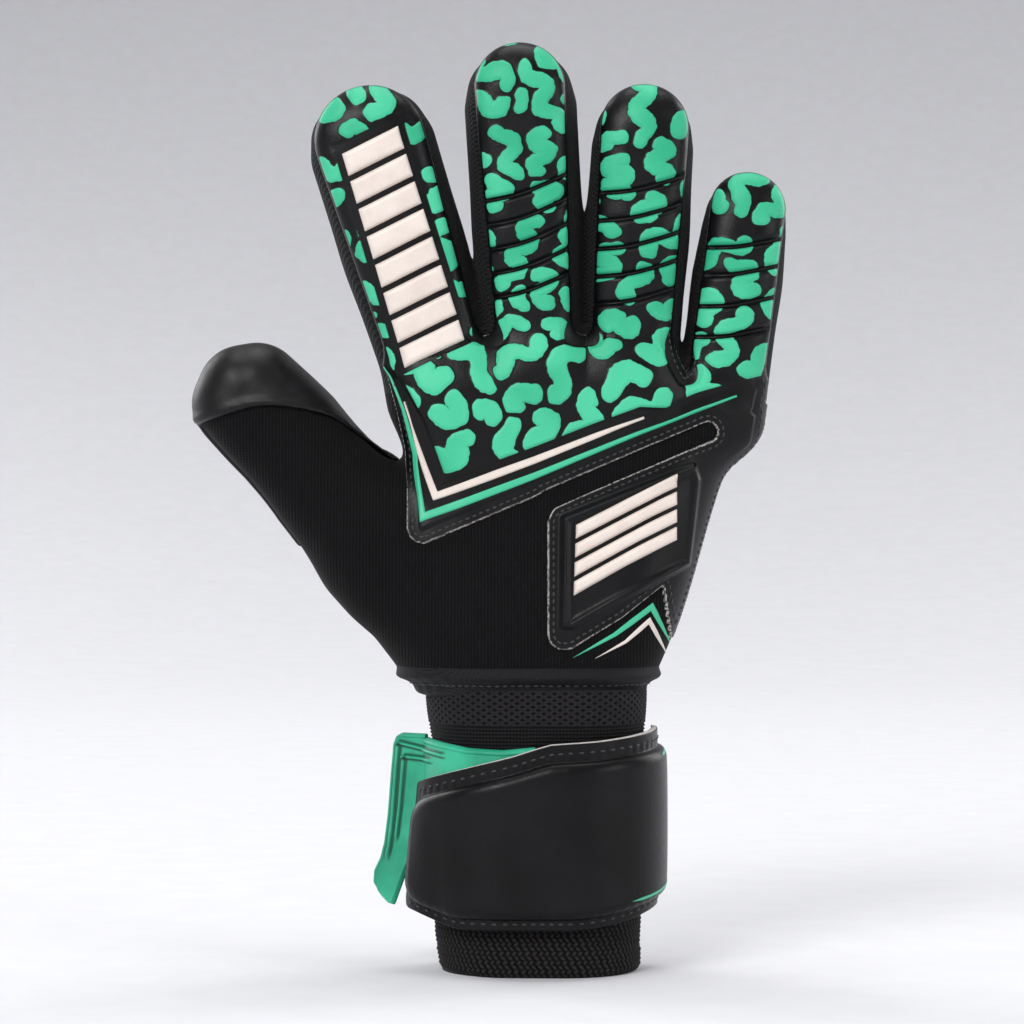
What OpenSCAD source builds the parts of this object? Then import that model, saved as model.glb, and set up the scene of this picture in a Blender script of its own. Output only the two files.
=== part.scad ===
// Goalkeeper glove for the right hand, worn and standing upright.
// +Z runs up the hand to the fingertips, +X to the little finger, +Y out of the palm.
// The origin is the centre of the cuff's opening, in the plane of its hem.

/* [Cuff] */
// Half width of the elastic cuff, outside
cuff_half_w = 30; // [28:0.5:32]
// Half depth of the elastic cuff, outside
cuff_half_d = 22; // [21:0.5:23]
// Wall of the elastic cuff
cuff_wall = 2.2; // [1.5:0.1:2.5]
// Height of the cuff's tube, from the hem
cuff_h = 62; // [58:1:64]
// Height of the doubled hem
hem_h = 7; // [4:0.5:10]

/* [Strap] */
// Lower edge of the wrist strap
strap_low = 19; // [16:1:22]
// Upper edge of the strap at its free end, on the thumb side
strap_high_end = 55; // [52:1:60]
// Upper edge of the strap on the little finger side
strap_high = 69; // [66:1:70]
// Thickness of the strap's skin
strap_skin = 1.8; // [1.2:0.1:2]
// Thickness of the raised pad on the strap
strap_pad = 2.5; // [2:0.1:3]

/* [Hand] */
// Lower edge of the hand, above the stretch band
hand_low = 80.5; // [79.5:0.5:84]
// Radius of the hand inside the glove at the wrist
wrist_r = 20; // [19:0.5:21]
// Thickness of the lining
lining_t = 0.8; // [0.6:0.1:1]
// Thickness of the foam behind the palm
foam_t = 2.8; // [2:0.1:3]
// Thickness of the palm's latex
latex_t = 3; // [2.5:0.1:3.5]
// Thickness of the neoprene on the back of the hand
neoprene_t = 2.6; // [2:0.1:3]
// Thickness of the embossed panel over the knuckles
panel_t = 2; // [1.5:0.1:2.2]
// Thickness of the mesh between and beside the fingers
mesh_t = 1.4; // [1:0.1:1.6]

/* [Fingers: index, middle, ring, little] */
// Across the hand to each finger's base
finger_x = [-30, -1.2, 27, 54.5]; // [-60:0.1:60]
// Depth of each finger's middle line
finger_y = [0, -2, -1, 1.5]; // [-3:0.5:3]
// Height of each finger's base
finger_z = [180, 185, 183, 172]; // [170:1:190]
// Lean of each finger towards the little finger side, in degrees
finger_tilt = [-17, -3.3, 3.6, 7.6]; // [-18:0.1:10]
// Length of each finger from its base
finger_len = [81.5, 86, 76, 62]; // [55:0.1:90]
// Half width of each finger at its base
finger_w0 = [16.2, 14.4, 14.1, 13.2]; // [12:0.1:17]
// Half width of each finger near its tip
finger_w1 = [19.2, 17, 15.4, 12.8]; // [12:0.1:19]
// Half width of the back panel at each finger's base
panel_w0 = [13, 10.7, 11, 10.6]; // [9:0.1:14]
// Half width of the back panel near each finger's tip
panel_w1 = [15.6, 12.7, 12.3, 10.4]; // [9:0.1:16]
// Distance from each finger's base to the middle of its flex zone
flex_at = [26, 28, 26, 22]; // [20:1:30]
// Half length of a finger's flex zone
flex_half = 13; // [13:0.5:14]

/* [Thumb] */
// Base of the thumb
thumb_base = [-48, 3, 122]; // [-130:0.5:130]
// Lean of the thumb away from the hand, in degrees
thumb_tilt = -40; // [-42:1:-38]
// Length of the thumb from its base
thumb_len = 77; // [72:1:80]
// Distance from the thumb's base to the middle of its flex zone
thumb_flex_at = 34; // [32:1:36]

/* [Hidden] */
$fn = 20;
gap = 0.2;         // between layers of one body
body_gap = 0.4;    // between pieces of different bodies
far = 80;          // reach of a cutting prism
fingers = [0:3];
finger_r = [9, 9, 9, 8];
finger_names = ["index", "middle", "ring", "little"];
tip_cover = 4.5;
tip_drop = 4;
knuckle_r = [13, 14, 13.5, 11.5];
knuckle_x = [-26.7, 0.5, 26.5, 45];
finger_root = [20, 20, 20, 10];
thumb_flex_half = 12;
wrist_pair = 10;

// Radial places of the layers, from the hand's own surface outwards
lining_o = lining_t;
base_i = lining_o + gap;
mesh_o = base_i + mesh_t;
foam_o = base_i + foam_t;
latex_i = foam_o + gap;
latex_o = latex_i + latex_t;
neoprene_o = base_i + neoprene_t;
padding_o = base_i + 2;
panel_i = padding_o + gap;
panel_o = panel_i + panel_t;
trim_i = panel_o + 0.1;
trim_o = trim_i + 0.7;
bar_o = trim_i + 1.2;
patch_i = neoprene_o + gap;
patch_o = patch_i + 1.8;
emblem_i = patch_o + 0.1;
emblem_o = emblem_i + 1.1;
side_split = 4;    // depth at which the back and the palm of the hand meet

// Strap layers, outwards from the cuff
loop_i = cuff_half_w + gap;
loop_t = 1.2;
hook_i = loop_i + loop_t + body_gap;
flap_i = hook_i + loop_t + gap;
flap_o = flap_i + strap_skin;
pad_i = flap_o + gap;
pad_o = pad_i + strap_pad;
anchor_i = cuff_half_w + 0.3;
anchor_o = anchor_i + 3;
strap_split = 2;   // depth of the plane in which the strap's flap meets its sewn half

// ---------- places and forms of the hand ----------

module in_finger(i) {
    translate([finger_x[i], finger_y[i], finger_z[i]]) rotate([0, finger_tilt[i], 0]) children();
}

module in_thumb() {
    translate(thumb_base) rotate([0, thumb_tilt, 0]) children();
}

// One finger of the hand, grown outwards by g, in the finger's own frame
module finger_form(i, g) {
    r = finger_r[i];
    end = finger_len[i] - tip_cover - r;
    hull() {
        for (s = [-1, 1]) {
            translate([s * (finger_w0[i] - mesh_o - r), 0, -finger_root[i]]) sphere(r + g);
            translate([s * (finger_w1[i] - mesh_o - r), 0, end - tip_drop]) sphere(r + g);
        }
        translate([0, 0, end]) sphere(r + g);
    }
}

// The thumb, grown outwards by g, in the thumb's own frame
module thumb_form(g) {
    hull() {
        for (s = [-1, 1]) {
            translate([s * 4.5, 0, 0]) sphere(14 + g);
            translate([s * 3, 3, thumb_len - 17]) sphere(10 + g);
        }
    }
}

// The palm, from the knuckles to the wrist
module palm_form(g) {
    hull() {
        for (i = fingers)
            translate([knuckle_x[i], finger_y[i], finger_z[i] - 15]) sphere(knuckle_r[i] + g);
        for (s = [-1, 1])
            translate([s * wrist_pair, 0, hand_low + 3.5]) sphere(wrist_r + g);
    }
}

// The ball of the thumb
module thumb_root_form(g) {
    hull() {
        in_thumb() for (s = [-1, 1]) translate([s * 4.5, 0, 0]) sphere(14 + g);
        translate([-22, 1, 94]) sphere(wrist_r + g);
    }
}

module hand_form(g) {
    palm_form(g);
    thumb_root_form(g);
    in_thumb() thumb_form(g);
    for (i = fingers) in_finger(i) finger_form(i, g);
}

// ---------- cutting regions ----------

// A prism of a back view outline, from depth y0 towards the back of the hand
module towards_back(y0 = 0) {
    translate([0, y0, 0]) rotate([90, 0, 0]) linear_extrude(far) children();
}

// The same towards the palm
module towards_palm(y0 = 0) {
    translate([0, y0 + far, 0]) rotate([90, 0, 0]) linear_extrude(far) children();
}

// Outline of a strip along a finger, with a round end; it is widened by grow
module finger_strip(i, w0, w1, from, to, grow = 0) {
    intersection() {
        hull() {
            translate([-w0 - grow, -30]) square([2 * (w0 + grow), 1]);
            translate([0, finger_len[i] - w1 - 1]) circle(w1 + grow);
            translate([-w1 - grow, finger_len[i] - w1 - 14]) square([2 * (w1 + grow), 1]);
        }
        translate([-far, from]) square([2 * far, to - from]);
    }
}

module back_strip(i, from, to, grow = 0) finger_strip(i, panel_w0[i], panel_w1[i], from, to, grow);

module palm_strip(i, from, to, grow = 0) {
    finger_strip(i, finger_w0[i] - 2.2, finger_w1[i] - 2.4, from, to, grow);
}

// Half width that clears finger i where its flex zone starts
function flex_w(i) = finger_w0[i] + 0.45 * (finger_w1[i] - finger_w0[i]) + 0.5;

// Everything beyond the start of each flex zone, which the hand's own pieces leave free
module beyond_flex() {
    for (i = fingers)
        in_finger(i) translate([0, 40, 0]) rotate([90, 0, 0]) linear_extrude(far)
            polygon([[-flex_w(i), flex_at[i] - flex_half], [flex_w(i), flex_at[i] - flex_half],
                     [finger_w1[i] + 3, finger_len[i] + 20], [-finger_w1[i] - 3, finger_len[i] + 20]]);
    in_thumb() translate([-45, -40, thumb_flex_at - thumb_flex_half]) cube([75, far, 90]);
    translate([-100, -50, -40]) cube([200, 100, 40 + hand_low]);
}

// A layer of the hand between two distances from its surface, inside a region
module hand_layer(a, b) {
    difference() {
        intersection() {
            hand_form(b);
            children();
        }
        hand_form(a);
        beyond_flex();
    }
}

// Outline of the embossed panel over the knuckles, below the fingers
module knuckle_outline(grow = 0) {
    offset(r = grow) offset(r = 2.5) offset(delta = -2.5)
        polygon([[-47, 196], [-47, 172], [-38.5, 155], [-37, 141], [-36.8, 124],
                 [-31, 124.5], [-16.9, 131], [6.4, 140.4], [29.8, 149.8], [50, 157.5],
                 [57, 148], [75, 156], [75, 196]]);
}

// Outline of the patch below the slot, on the little finger side
module patch_outline(grow = 0) {
    offset(r = grow) offset(r = 3) offset(delta = -3)
        polygon([[2.6, 95.5], [2.6, 134], [24.8, 145.6], [48, 153], [54, 147.5], [60, 140],
                 [50, 100], [38, 97], [35.5, 112.5], [24, 103.3], [9.6, 94]]);
}

// An L of even width along the lower edge of the knuckle panel
module chevron_outline(corner, left_h, right_l, t) {
    rise = atan2(25.4, 63.3);
    translate(corner) {
        rotate(rise) square([right_l, t]);
        rotate(94.5) translate([0, -t]) square([left_h, t]);
    }
}

// A row of slanting bars, each w wide and h high
module slanting_bars(n, w, h, pitch, slant) {
    for (k = [0:n - 1])
        translate([0, k * pitch])
            polygon([[-w, -slant], [w, slant], [w, slant + h], [-w, h - slant]]);
}

// ---------- cuff and strap ----------

// A stadium as wide as 2 w and as deep as 2 d
module stadium(w, d) {
    square([2 * (w - d), 2 * d], center = true);
    for (s = [-1, 1]) translate([s * (w - d), 0]) circle(d, $fn = 64);
}

// A ring of the stadium around the wrist, between two half widths
module wrist_ring(w_in, w_out) {
    back = cuff_half_w - cuff_half_d;
    difference() {
        stadium(w_out, w_out - back);
        stadium(w_in, w_in - back);
    }
}

module cuff_tube() {
    color("#18181a") linear_extrude(cuff_h) wrist_ring(cuff_half_w - cuff_wall, cuff_half_w);
}

module cuff_hem() {
    color("#1d1d20") linear_extrude(hem_h) wrist_ring(cuff_half_w + gap, cuff_half_w + 1.3);
}

// The cuff's side seam, a narrow raised strip below the strap on the little finger side
module cuff_seam() {
    color("#26262a")
        translate([cuff_half_w + gap, 3, hem_h + gap]) cube([1.2, 4, strap_low - hem_h - 1]);
}

// The stretch band between the cuff and the hand; it is thinner where the strap lies over it
module wrist_band() {
    step_z = strap_high + 1;
    color("#161618") union() {
        translate([0, 0, cuff_h + gap])
            linear_extrude(hand_low - cuff_h - 2 * gap) wrist_ring(cuff_half_w - 2, cuff_half_w);
        translate([0, 0, step_z]) linear_extrude(hand_low - step_z - gap) wrist_ring(cuff_half_w - 2, cuff_half_w + 2);
    }
}

// The strap's half on the palm side, sewn to the cuff
module strap_anchor() {
    color("#101012") intersection() {
        translate([0, 0, strap_low]) linear_extrude(strap_high - strap_low) wrist_ring(anchor_i, anchor_o);
        translate([-60, strap_split + body_gap, 0]) cube([120, 60, 100]);
        towards_palm() polygon([[-60, 0], [-60, strap_high_end], [60, strap_high], [60, 0]]);
    }
}

// Side view of the strap's free half, shortened by inset at every edge
module strap_side(inset = 0) {
    polygon([[-60, strap_low + inset], [60, strap_low + inset], [60, strap_high - inset],
             [2, strap_high - 2 - inset], [-flap_o, strap_high_end - inset], [-60, strap_high_end - inset]]);
}

// The strap's half over the back of the hand, between two radial places and two ends
module strap_layer(a, b, inset, left_y, right_y) {
    intersection() {
        linear_extrude(100) wrist_ring(a, b);
        towards_back(20) strap_side(inset);
        translate([0, -60, 0]) cube([60, 60 + right_y, 100]);
    }
    intersection() {
        linear_extrude(100) wrist_ring(a, b);
        towards_back(20) strap_side(inset);
        translate([-60, -60, 0]) cube([60, 60 + left_y, 100]);
    }
}

module strap_flap() {
    color("#0d0d0f") strap_layer(flap_i, flap_o, 0, -4, strap_split);
}

module strap_padding() {
    color("#141417") strap_layer(pad_i, pad_o, 4.5, -8, strap_split - 4);
}

module loop_pad() {
    color("#222226") intersection() {
        translate([0, 0, strap_low + 2]) linear_extrude(strap_high_end - strap_low - 5)
            wrist_ring(loop_i, loop_i + loop_t);
        translate([-60, -60, 0]) cube([58, 56, 100]);
    }
}

module hook_pad() {
    color("#1a1a1d") intersection() {
        translate([0, 0, strap_low + 4]) linear_extrude(strap_high_end - strap_low - 9)
            wrist_ring(hook_i, hook_i + loop_t);
        translate([-60, -60, 0]) cube([50, 54, 100]);
    }
}

// The rubber moulding under the strap's free end, seen above the strap's corner
module tab_base() {
    color("#1fae84") intersection() {
        linear_extrude(100) wrist_ring(hook_i, hook_i + 1.2);
        towards_back(-4)
            polygon([[-60, strap_high_end - 2], [-2, strap_high_end - 2], [-2, strap_high - 3.5],
                     [-20, strap_high - 2.5], [-60, strap_high + 0.5]]);
    }
}

// The rubber pull at the strap's end; it stands away from the wrist at its foot
module pull_tab() {
    x0 = -flap_o;
    color("#22b98c") difference() {
        intersection() {
            translate([0, 0, strap_low]) linear_extrude(strap_high - strap_low)
                polygon([[x0 + 3, -3.5], [x0 - 0.6, -3.6], [x0 - 13.5, 8.5], [x0 - 12.4, 10], [x0 + 1, -1.6]]);
            towards_back(40)
                polygon([[x0 + 3, strap_low], [x0 - 11, strap_low + 2], [x0 - 7.5, 38], [x0 - 4, strap_high],
                         [x0 + 3, strap_high - 0.5]]);
        }
        // three moulded ribs are left between two grooves along the pull
        for (k = [0, 1])
            translate([x0 - 3.4 - 2.6 * k, -2.6 + 2.5 * k, strap_low + 8]) rotate([0, 0, -42])
                cube([0.9, 0.6, 34]);
    }
}

// ---------- hand ----------

module all_of_it() {
    translate([-130, -60, 0]) cube([230, 120, 300]);
}

module hand_lining() {
    color("#4a4d52") hand_layer(0, lining_o) all_of_it();
}

// The palm side of the hand, below the flex zones
module palm_region(grow = 0) {
    towards_palm(side_split + gap) {
        translate([-130, 60]) square([230, 108]);
        polygon([[-46, 160], [70, 160], [68, 172], [40, 176], [13, 184], [-14, 184], [-46, 176]]);
    }
    for (i = fingers)
        in_finger(i) towards_palm(side_split + gap - finger_y[i]) palm_strip(i, -30, flex_at[i], grow);
}

module palm_foam() {
    color("#c9c4bb") hand_layer(base_i, foam_o) palm_region();
}

module palm_latex() {
    color("#1b1b1d") hand_layer(latex_i, latex_o) palm_region();
}

// Everything on the back that the knuckle panel and its finger strips cover
module knuckle_region(grow = 0) {
    towards_back(side_split - gap) intersection() {
        knuckle_outline(grow);
        polygon([[-60, 100], [80, 100], [80, 168], [42, 173.5], [13, 184.5], [-14, 184.5], [-60, 176]]);
    }
    for (i = fingers)
        in_finger(i) towards_back(-2) back_strip(i, -18, flex_at[i], grow);
}

module backhand_neoprene() {
    color("#0e0e10") difference() {
        hand_layer(base_i, neoprene_o)
            towards_back(side_split - gap) translate([-130, 60]) square([230, 111]);
        knuckle_region(gap);
        // the fingers' side gussets start above this line
        for (i = fingers) in_finger(i) translate([-18, -30, -8]) cube([36, 60, 60]);
    }
}

module knuckle_padding() {
    color("#2b2b2f") hand_layer(base_i, padding_o) knuckle_region();
}

module knuckle_panel() {
    color("#1c1c1f") hand_layer(panel_i, panel_o) knuckle_region();
}

module chevron_white() {
    color("#e9e0d8") hand_layer(trim_i, trim_o) towards_back() chevron_outline([-30, 134.5], 25, 62, 2);
}

module chevron_green() {
    color("#2cc493") hand_layer(trim_i, trim_o) towards_back() chevron_outline([-33.3, 128.5], 34, 90, 2);
}

module emblem_patch() {
    color("#1a1a1d") difference() {
        hand_layer(patch_i, patch_o) towards_back(side_split - 1) patch_outline();
        towards_back(10) knuckle_outline(gap + 0.4);
    }
}

module emblem_bars() {
    color("#efe7de") hand_layer(emblem_i, emblem_o) towards_back()
        for (k = [0:3])
            translate([14 + 0.8 * k, 108.5 + 4.9 * k]) polygon([[0, 0], [25.5, 11.8], [26, 15.1], [0.5, 3.3]]);
}

// Folded seam around the foot of the neoprene
module wrist_welt() {
    color("#121214") difference() {
        hand_layer(neoprene_o + gap, neoprene_o + 1.5)
            translate([-100, -60, hand_low]) cube([200, 60 + side_split - gap, 5]);
    }
}

// The strip of mesh between two neighbouring fingers, below their flex zones
module web(i) {
    j = i + 1;
    middle_x = (finger_x[i] + finger_x[j]) / 2;
    color("#151518") difference() {
        hand_layer(base_i, mesh_o)
            translate([middle_x - 13, -30, min(finger_z[i], finger_z[j]) - 8]) cube([26, 60, 60]);
        knuckle_region(gap);
        palm_region(gap);
        in_finger(i) translate([-40, -30, -30]) cube([40, 60, 100]);
        in_finger(j) translate([0, -30, -30]) cube([40, 60, 100]);
    }
}

// Mesh along the outer side of the index (s = -1) or little finger (s = 1)
module side_gusset(i, s) {
    color("#151518") difference() {
        hand_layer(base_i, mesh_o) in_finger(i)
            translate([s > 0 ? 0 : -40, -30, -8 + gap]) cube([40, 60, 60]);
        knuckle_region(gap);
        palm_region(gap);
        towards_palm(side_split) translate([-130, 60]) square([230, 108]);
    }
}

module index_base_bars() {
    color("#efe7de") intersection() {
        hand_layer(trim_i, bar_o) in_finger(0) towards_back(-2) slanting_bars(2, 8.8, 6.8, 8, 1.4);
        in_finger(0) translate([-20, -40, -4]) cube([40, 40, flex_at[0] - flex_half + 4 - gap]);
    }
}

// ---------- fingers ----------

// A layer of finger i beyond its flex zone, in the finger's own frame
module finger_layer(i, a, b) {
    start = flex_at[i] + flex_half;
    difference() {
        intersection() {
            finger_form(i, b);
            children();
            translate([-40, -40, start]) cube([80, 80, 80]);
        }
        finger_form(i, a);
    }
}

module finger_lining(i) {
    color("#4a4d52") in_finger(i) finger_layer(i, 0, lining_o) translate([-40, -40, 0]) cube([80, 80, 120]);
}

module finger_palm_foam(i) {
    color("#c9c4bb") in_finger(i) finger_layer(i, base_i, foam_o) towards_palm(2) palm_strip(i, 0, 100);
}

module finger_palm_latex(i) {
    color("#1b1b1d") in_finger(i) finger_layer(i, latex_i, latex_o) towards_palm(2) palm_strip(i, 0, 100);
}

module finger_back_panel(i) {
    color("#1fbf90") in_finger(i) finger_layer(i, base_i, panel_o) towards_back(-2) back_strip(i, 0, 100);
}

module finger_gusset(i) {
    color("#151518") in_finger(i) difference() {
        finger_layer(i, base_i, mesh_o) translate([-40, -40, 0]) cube([80, 80, 120]);
        towards_back(-2 + gap) back_strip(i, 0, 120, gap);
        towards_palm(2 - gap) palm_strip(i, 0, 120, gap);
    }
}

// The grooved zone where finger i bends, through all its layers
module finger_flex(i) {
    from = flex_at[i] - flex_half + body_gap;
    to = flex_at[i] + flex_half - body_gap;
    color("#159a74") in_finger(i) difference() {
        union() {
            intersection() {
                finger_form(i, panel_o);
                towards_back(-2) back_strip(i, from, to);
            }
            intersection() {
                finger_form(i, latex_o);
                towards_palm(2) palm_strip(i, from, to);
            }
            intersection() {
                finger_form(i, mesh_o);
                translate([-40, -40, from]) cube([80, 80, to - from]);
            }
        }
        finger_form(i, 0);
    }
}

module index_bars() {
    color("#efe7de") in_finger(0) finger_layer(0, trim_i, bar_o)
        towards_back(-2) translate([0, flex_at[0] + flex_half + 2]) slanting_bars(4, 8.8, 6.8, 8, 1.4);
}

// ---------- thumb ----------

module thumb_layer(a, b) {
    difference() {
        intersection() {
            thumb_form(b);
            children();
            translate([-40, -40, thumb_flex_at + thumb_flex_half]) cube([80, 80, 80]);
        }
        thumb_form(a);
    }
}

// The latex wraps the whole tip, and the palm side below it
module wrap_region(grow = 0) {
    translate([0, 0, thumb_flex_at]) union() {
        translate([-40, 3 - grow, 0]) cube([80, 60, 80]);
        rotate([0, 38, 0]) translate([-60, -40, 15 - grow]) cube([120, 80, 80]);
    }
}

module thumb_lining() {
    color("#4a4d52") in_thumb() thumb_layer(0, lining_o) translate([-40, -40, 0]) cube([80, 80, 120]);
}

module thumb_back() {
    color("#0e0e10") in_thumb() difference() {
        thumb_layer(base_i, neoprene_o) translate([-40, -40, 0]) cube([80, 80, 120]);
        wrap_region(gap);
    }
}

module thumb_latex_wrap() {
    color("#232326") in_thumb() thumb_layer(base_i, neoprene_o + 1.2) wrap_region();
}

module thumb_flex() {
    from = thumb_flex_at - thumb_flex_half + body_gap;
    to = thumb_flex_at + thumb_flex_half - body_gap;
    color("#101013") in_thumb() difference() {
        intersection() {
            thumb_form(neoprene_o);
            translate([-40, -40, from]) cube([80, 80, to - from]);
        }
        thumb_form(0);
    }
}

// ---------- nodes ----------

cuff_tube();
cuff_hem();
cuff_seam();
wrist_band();
strap_anchor();
loop_pad();
strap_flap();
strap_padding();
hook_pad();
tab_base();
pull_tab();
hand_lining();
palm_foam();
palm_latex();
backhand_neoprene();
knuckle_padding();
knuckle_panel();
chevron_white();
chevron_green();
emblem_patch();
emblem_bars();
wrist_welt();
index_base_bars();
web(0);  // web_index_middle
web(1);  // web_middle_ring
web(2);  // web_ring_little
side_gusset(0, -1);  // side_gusset_index
side_gusset(3, 1);  // side_gusset_little
for (i = fingers) {
    name = finger_names[i];
    finger_lining(i);
    finger_gusset(i);
    finger_palm_foam(i);
    finger_palm_latex(i);
    finger_back_panel(i);
    finger_flex(i);
}
index_bars();
thumb_lining();
thumb_back();
thumb_latex_wrap();
thumb_flex();
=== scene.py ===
"""Looks of the goalkeeper glove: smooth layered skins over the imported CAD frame.

One distance field describes the filled glove. Knit, mesh and latex are shells extracted from it, and the
embossed panels are dense height fields laid on it. Lengths are in millimetres until a mesh is made.
"""

import math

import bpy
import numpy as np
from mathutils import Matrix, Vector


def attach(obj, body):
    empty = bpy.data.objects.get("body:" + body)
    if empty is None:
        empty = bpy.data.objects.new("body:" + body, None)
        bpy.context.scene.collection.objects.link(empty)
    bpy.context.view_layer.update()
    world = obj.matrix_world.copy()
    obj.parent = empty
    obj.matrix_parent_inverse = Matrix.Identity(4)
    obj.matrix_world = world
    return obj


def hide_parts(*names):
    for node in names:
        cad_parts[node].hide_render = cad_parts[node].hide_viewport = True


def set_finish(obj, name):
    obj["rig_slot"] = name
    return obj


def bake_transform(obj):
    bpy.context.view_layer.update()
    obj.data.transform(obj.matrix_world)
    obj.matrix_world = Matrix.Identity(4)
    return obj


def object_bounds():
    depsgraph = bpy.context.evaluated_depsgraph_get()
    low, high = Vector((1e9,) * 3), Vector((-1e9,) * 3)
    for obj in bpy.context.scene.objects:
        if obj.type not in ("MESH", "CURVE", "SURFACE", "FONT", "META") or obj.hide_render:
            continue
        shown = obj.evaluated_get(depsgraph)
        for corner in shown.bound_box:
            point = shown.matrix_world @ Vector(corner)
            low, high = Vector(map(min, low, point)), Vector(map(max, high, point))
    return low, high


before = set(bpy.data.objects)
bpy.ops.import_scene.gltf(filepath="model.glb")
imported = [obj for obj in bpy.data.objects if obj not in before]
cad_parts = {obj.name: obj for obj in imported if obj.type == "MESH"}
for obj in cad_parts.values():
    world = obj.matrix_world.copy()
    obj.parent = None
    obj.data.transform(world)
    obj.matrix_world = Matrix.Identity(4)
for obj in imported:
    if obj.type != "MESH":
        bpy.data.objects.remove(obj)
cad_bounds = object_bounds()
MM = 0.001
SEED = 20

# ---------------------------------------------------------------- design, as in the CAD
FINGERS = ("index", "middle", "ring", "little")
BASE = np.array([(-30, 0, 180), (-1.2, -2, 185), (27, -1, 183), (54.5, 1.5, 172)], float)
TILT = np.radians([-17, -3.3, 3.6, 7.6])
LENGTH = (81.5, 86, 76, 62)
W0, W1 = (16.2, 14.4, 14.1, 13.2), (19.2, 17.0, 15.4, 12.8)
PANEL_W0, PANEL_W1 = (13.0, 10.7, 11.0, 10.6), (15.6, 12.7, 12.3, 10.4)
DEPTH = (11.4, 11.4, 11.4, 10.4)      # half thickness of each finger, mesh included
FLEX_AT = (26, 28, 26, 22)             # where each finger bends, along it
THUMB_BASE, THUMB_TILT, THUMB_LEN = np.array([-48.0, 3, 122]), math.radians(-40), 77
THUMB_FLEX_AT = 34
HAND_LOW = 80.5
SIDE_SPLIT = 4.0                      # depth at which the back and the palm of the hand meet
LATEX = 4.2                           # how far the palm's foam and latex stand off the mesh
CUFF_W, CUFF_D = 30.0, 22.0           # half width and depth of the elastic cuff
LINING_IN = 3.0                       # how far the lining lies inside the knit
CELL = 1.1                            # cell of the distance grid
FINE = 0.34                           # spacing of the embossed skins


# ---------------------------------------------------------------- distance field of the filled glove
def smin(a, b, k):
    h = np.clip(0.5 + 0.5 * (b - a) / k, 0, 1)
    return b + (a - b) * h - k * h * (1 - h)


def smax(a, b, k):
    return -smin(-a, -b, k)


def step(x, a, b):
    t = np.clip((x - a) / (b - a), 0, 1)
    return t * t * (3 - 2 * t)


def bell(x, w):
    return np.exp(-(x / w) ** 2)


def dome(x, r, low=0.0):
    """A quarter circle's rise over the distance r, from 0 to 1."""
    return np.sqrt(np.clip(1 - (1 - np.clip(x / r, low, 1)) ** 2, 0, 1))


def polygon_distance(x, z, points):
    """Signed distance to a polygon in the plane, negative inside."""
    x, z = np.broadcast_arrays(x, z)
    best = np.full(x.shape, 1e9)
    inside = np.zeros(x.shape, bool)
    for (ax, az), (bx, bz) in zip(points, points[1:] + points[:1]):
        ex, ez = bx - ax, bz - az
        wx, wz = x - ax, z - az
        t = np.clip((wx * ex + wz * ez) / (ex * ex + ez * ez), 0, 1)
        best = np.minimum(best, (wx - ex * t) ** 2 + (wz - ez * t) ** 2)
        if az != bz:
            inside ^= ((az > z) != (bz > z)) & (x < (bx - ax) * (z - az) / (bz - az) + ax)
    return np.where(inside, -1, 1) * np.sqrt(best)


def to_local(i, x, z):
    """Across and along finger i."""
    c, s = math.cos(TILT[i]), math.sin(TILT[i])
    dx, dz = x - BASE[i, 0], z - BASE[i, 2]
    return dx * c - dz * s, dx * s + dz * c


def to_world(i, across, along):
    c, s = math.cos(TILT[i]), math.sin(TILT[i])
    return BASE[i, 0] + across * c + along * s, BASE[i, 2] - across * s + along * c


def finger_field(i, x, y, z):
    u, v = to_local(i, x, z)
    r = DEPTH[i] - 0.9 * step(v, LENGTH[i] * 0.4, LENGTH[i]) + 0.5 * bell(v - 30, 10)
    top = LENGTH[i] - DEPTH[i] - 0.7
    a0, a1 = W0[i] - DEPTH[i], W1[i] - DEPTH[i]
    core = [(-a0, -10.0), (a0, -10.0), (a1, top - 7.0), (a1 * 0.82, top - 2.6), (a1 * 0.42, top - 0.5), (0.0, top),
            (-a1 * 0.42, top - 0.5), (-a1 * 0.82, top - 2.6), (-a1, top - 7.0)]
    d = np.maximum(polygon_distance(u, v, core), 0)
    crown = 0.9 * np.clip(1 - (u / W1[i]) ** 2, 0, 1)
    lean = 0.8 * step(v, 40, LENGTH[i])            # the finger bends a little towards the palm at its tip
    return np.sqrt(d * d + (y - BASE[i, 1] - lean) ** 2) - r - crown


def palm_field(x, y, z):
    core = [(-10.0, 84.0), (8.2, 84.0), (45.0, 157.0), (44.0, 162.0), (26.5, 168.0), (0.5, 170.0), (-26.7, 165.0)]
    d = np.maximum(polygon_distance(x, z, core), 0)
    up = step(z, 84, 160)
    r = 22.4 - 7.6 * up - 2.2 * step(x, 25, 52) * up
    arch = 3.6 * np.clip((x - 12) / 42, 0, 1.2) ** 2 * up - 1.2 * up
    return np.sqrt(d * d + (y - arch) ** 2) - r


def thumb_local(x, z):
    c, s = math.cos(THUMB_TILT), math.sin(THUMB_TILT)
    dx, dz = x - THUMB_BASE[0], z - THUMB_BASE[2]
    return dx * c - dz * s, dx * s + dz * c


def thumb_field(x, y, z):
    u, v = thumb_local(x, z)
    core = [(1.4, -6.0), (5.0, -6.0), (5.6, 42.0), (4.2, THUMB_LEN - 18.0), (0.8, THUMB_LEN - 16.0),
            (-2.8, THUMB_LEN - 17.8), (-1.4, 42.0), (-1.4, 26.0)]
    d = np.maximum(polygon_distance(u, v, core), 0)
    t = np.clip(v / (THUMB_LEN - 17), 0, 1)
    r = 16.2 - 3.8 * t - 1.1 * bell(v - 30, 13)
    return np.sqrt(d * d + (y - 3 - 3 * t) ** 2) - r


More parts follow.
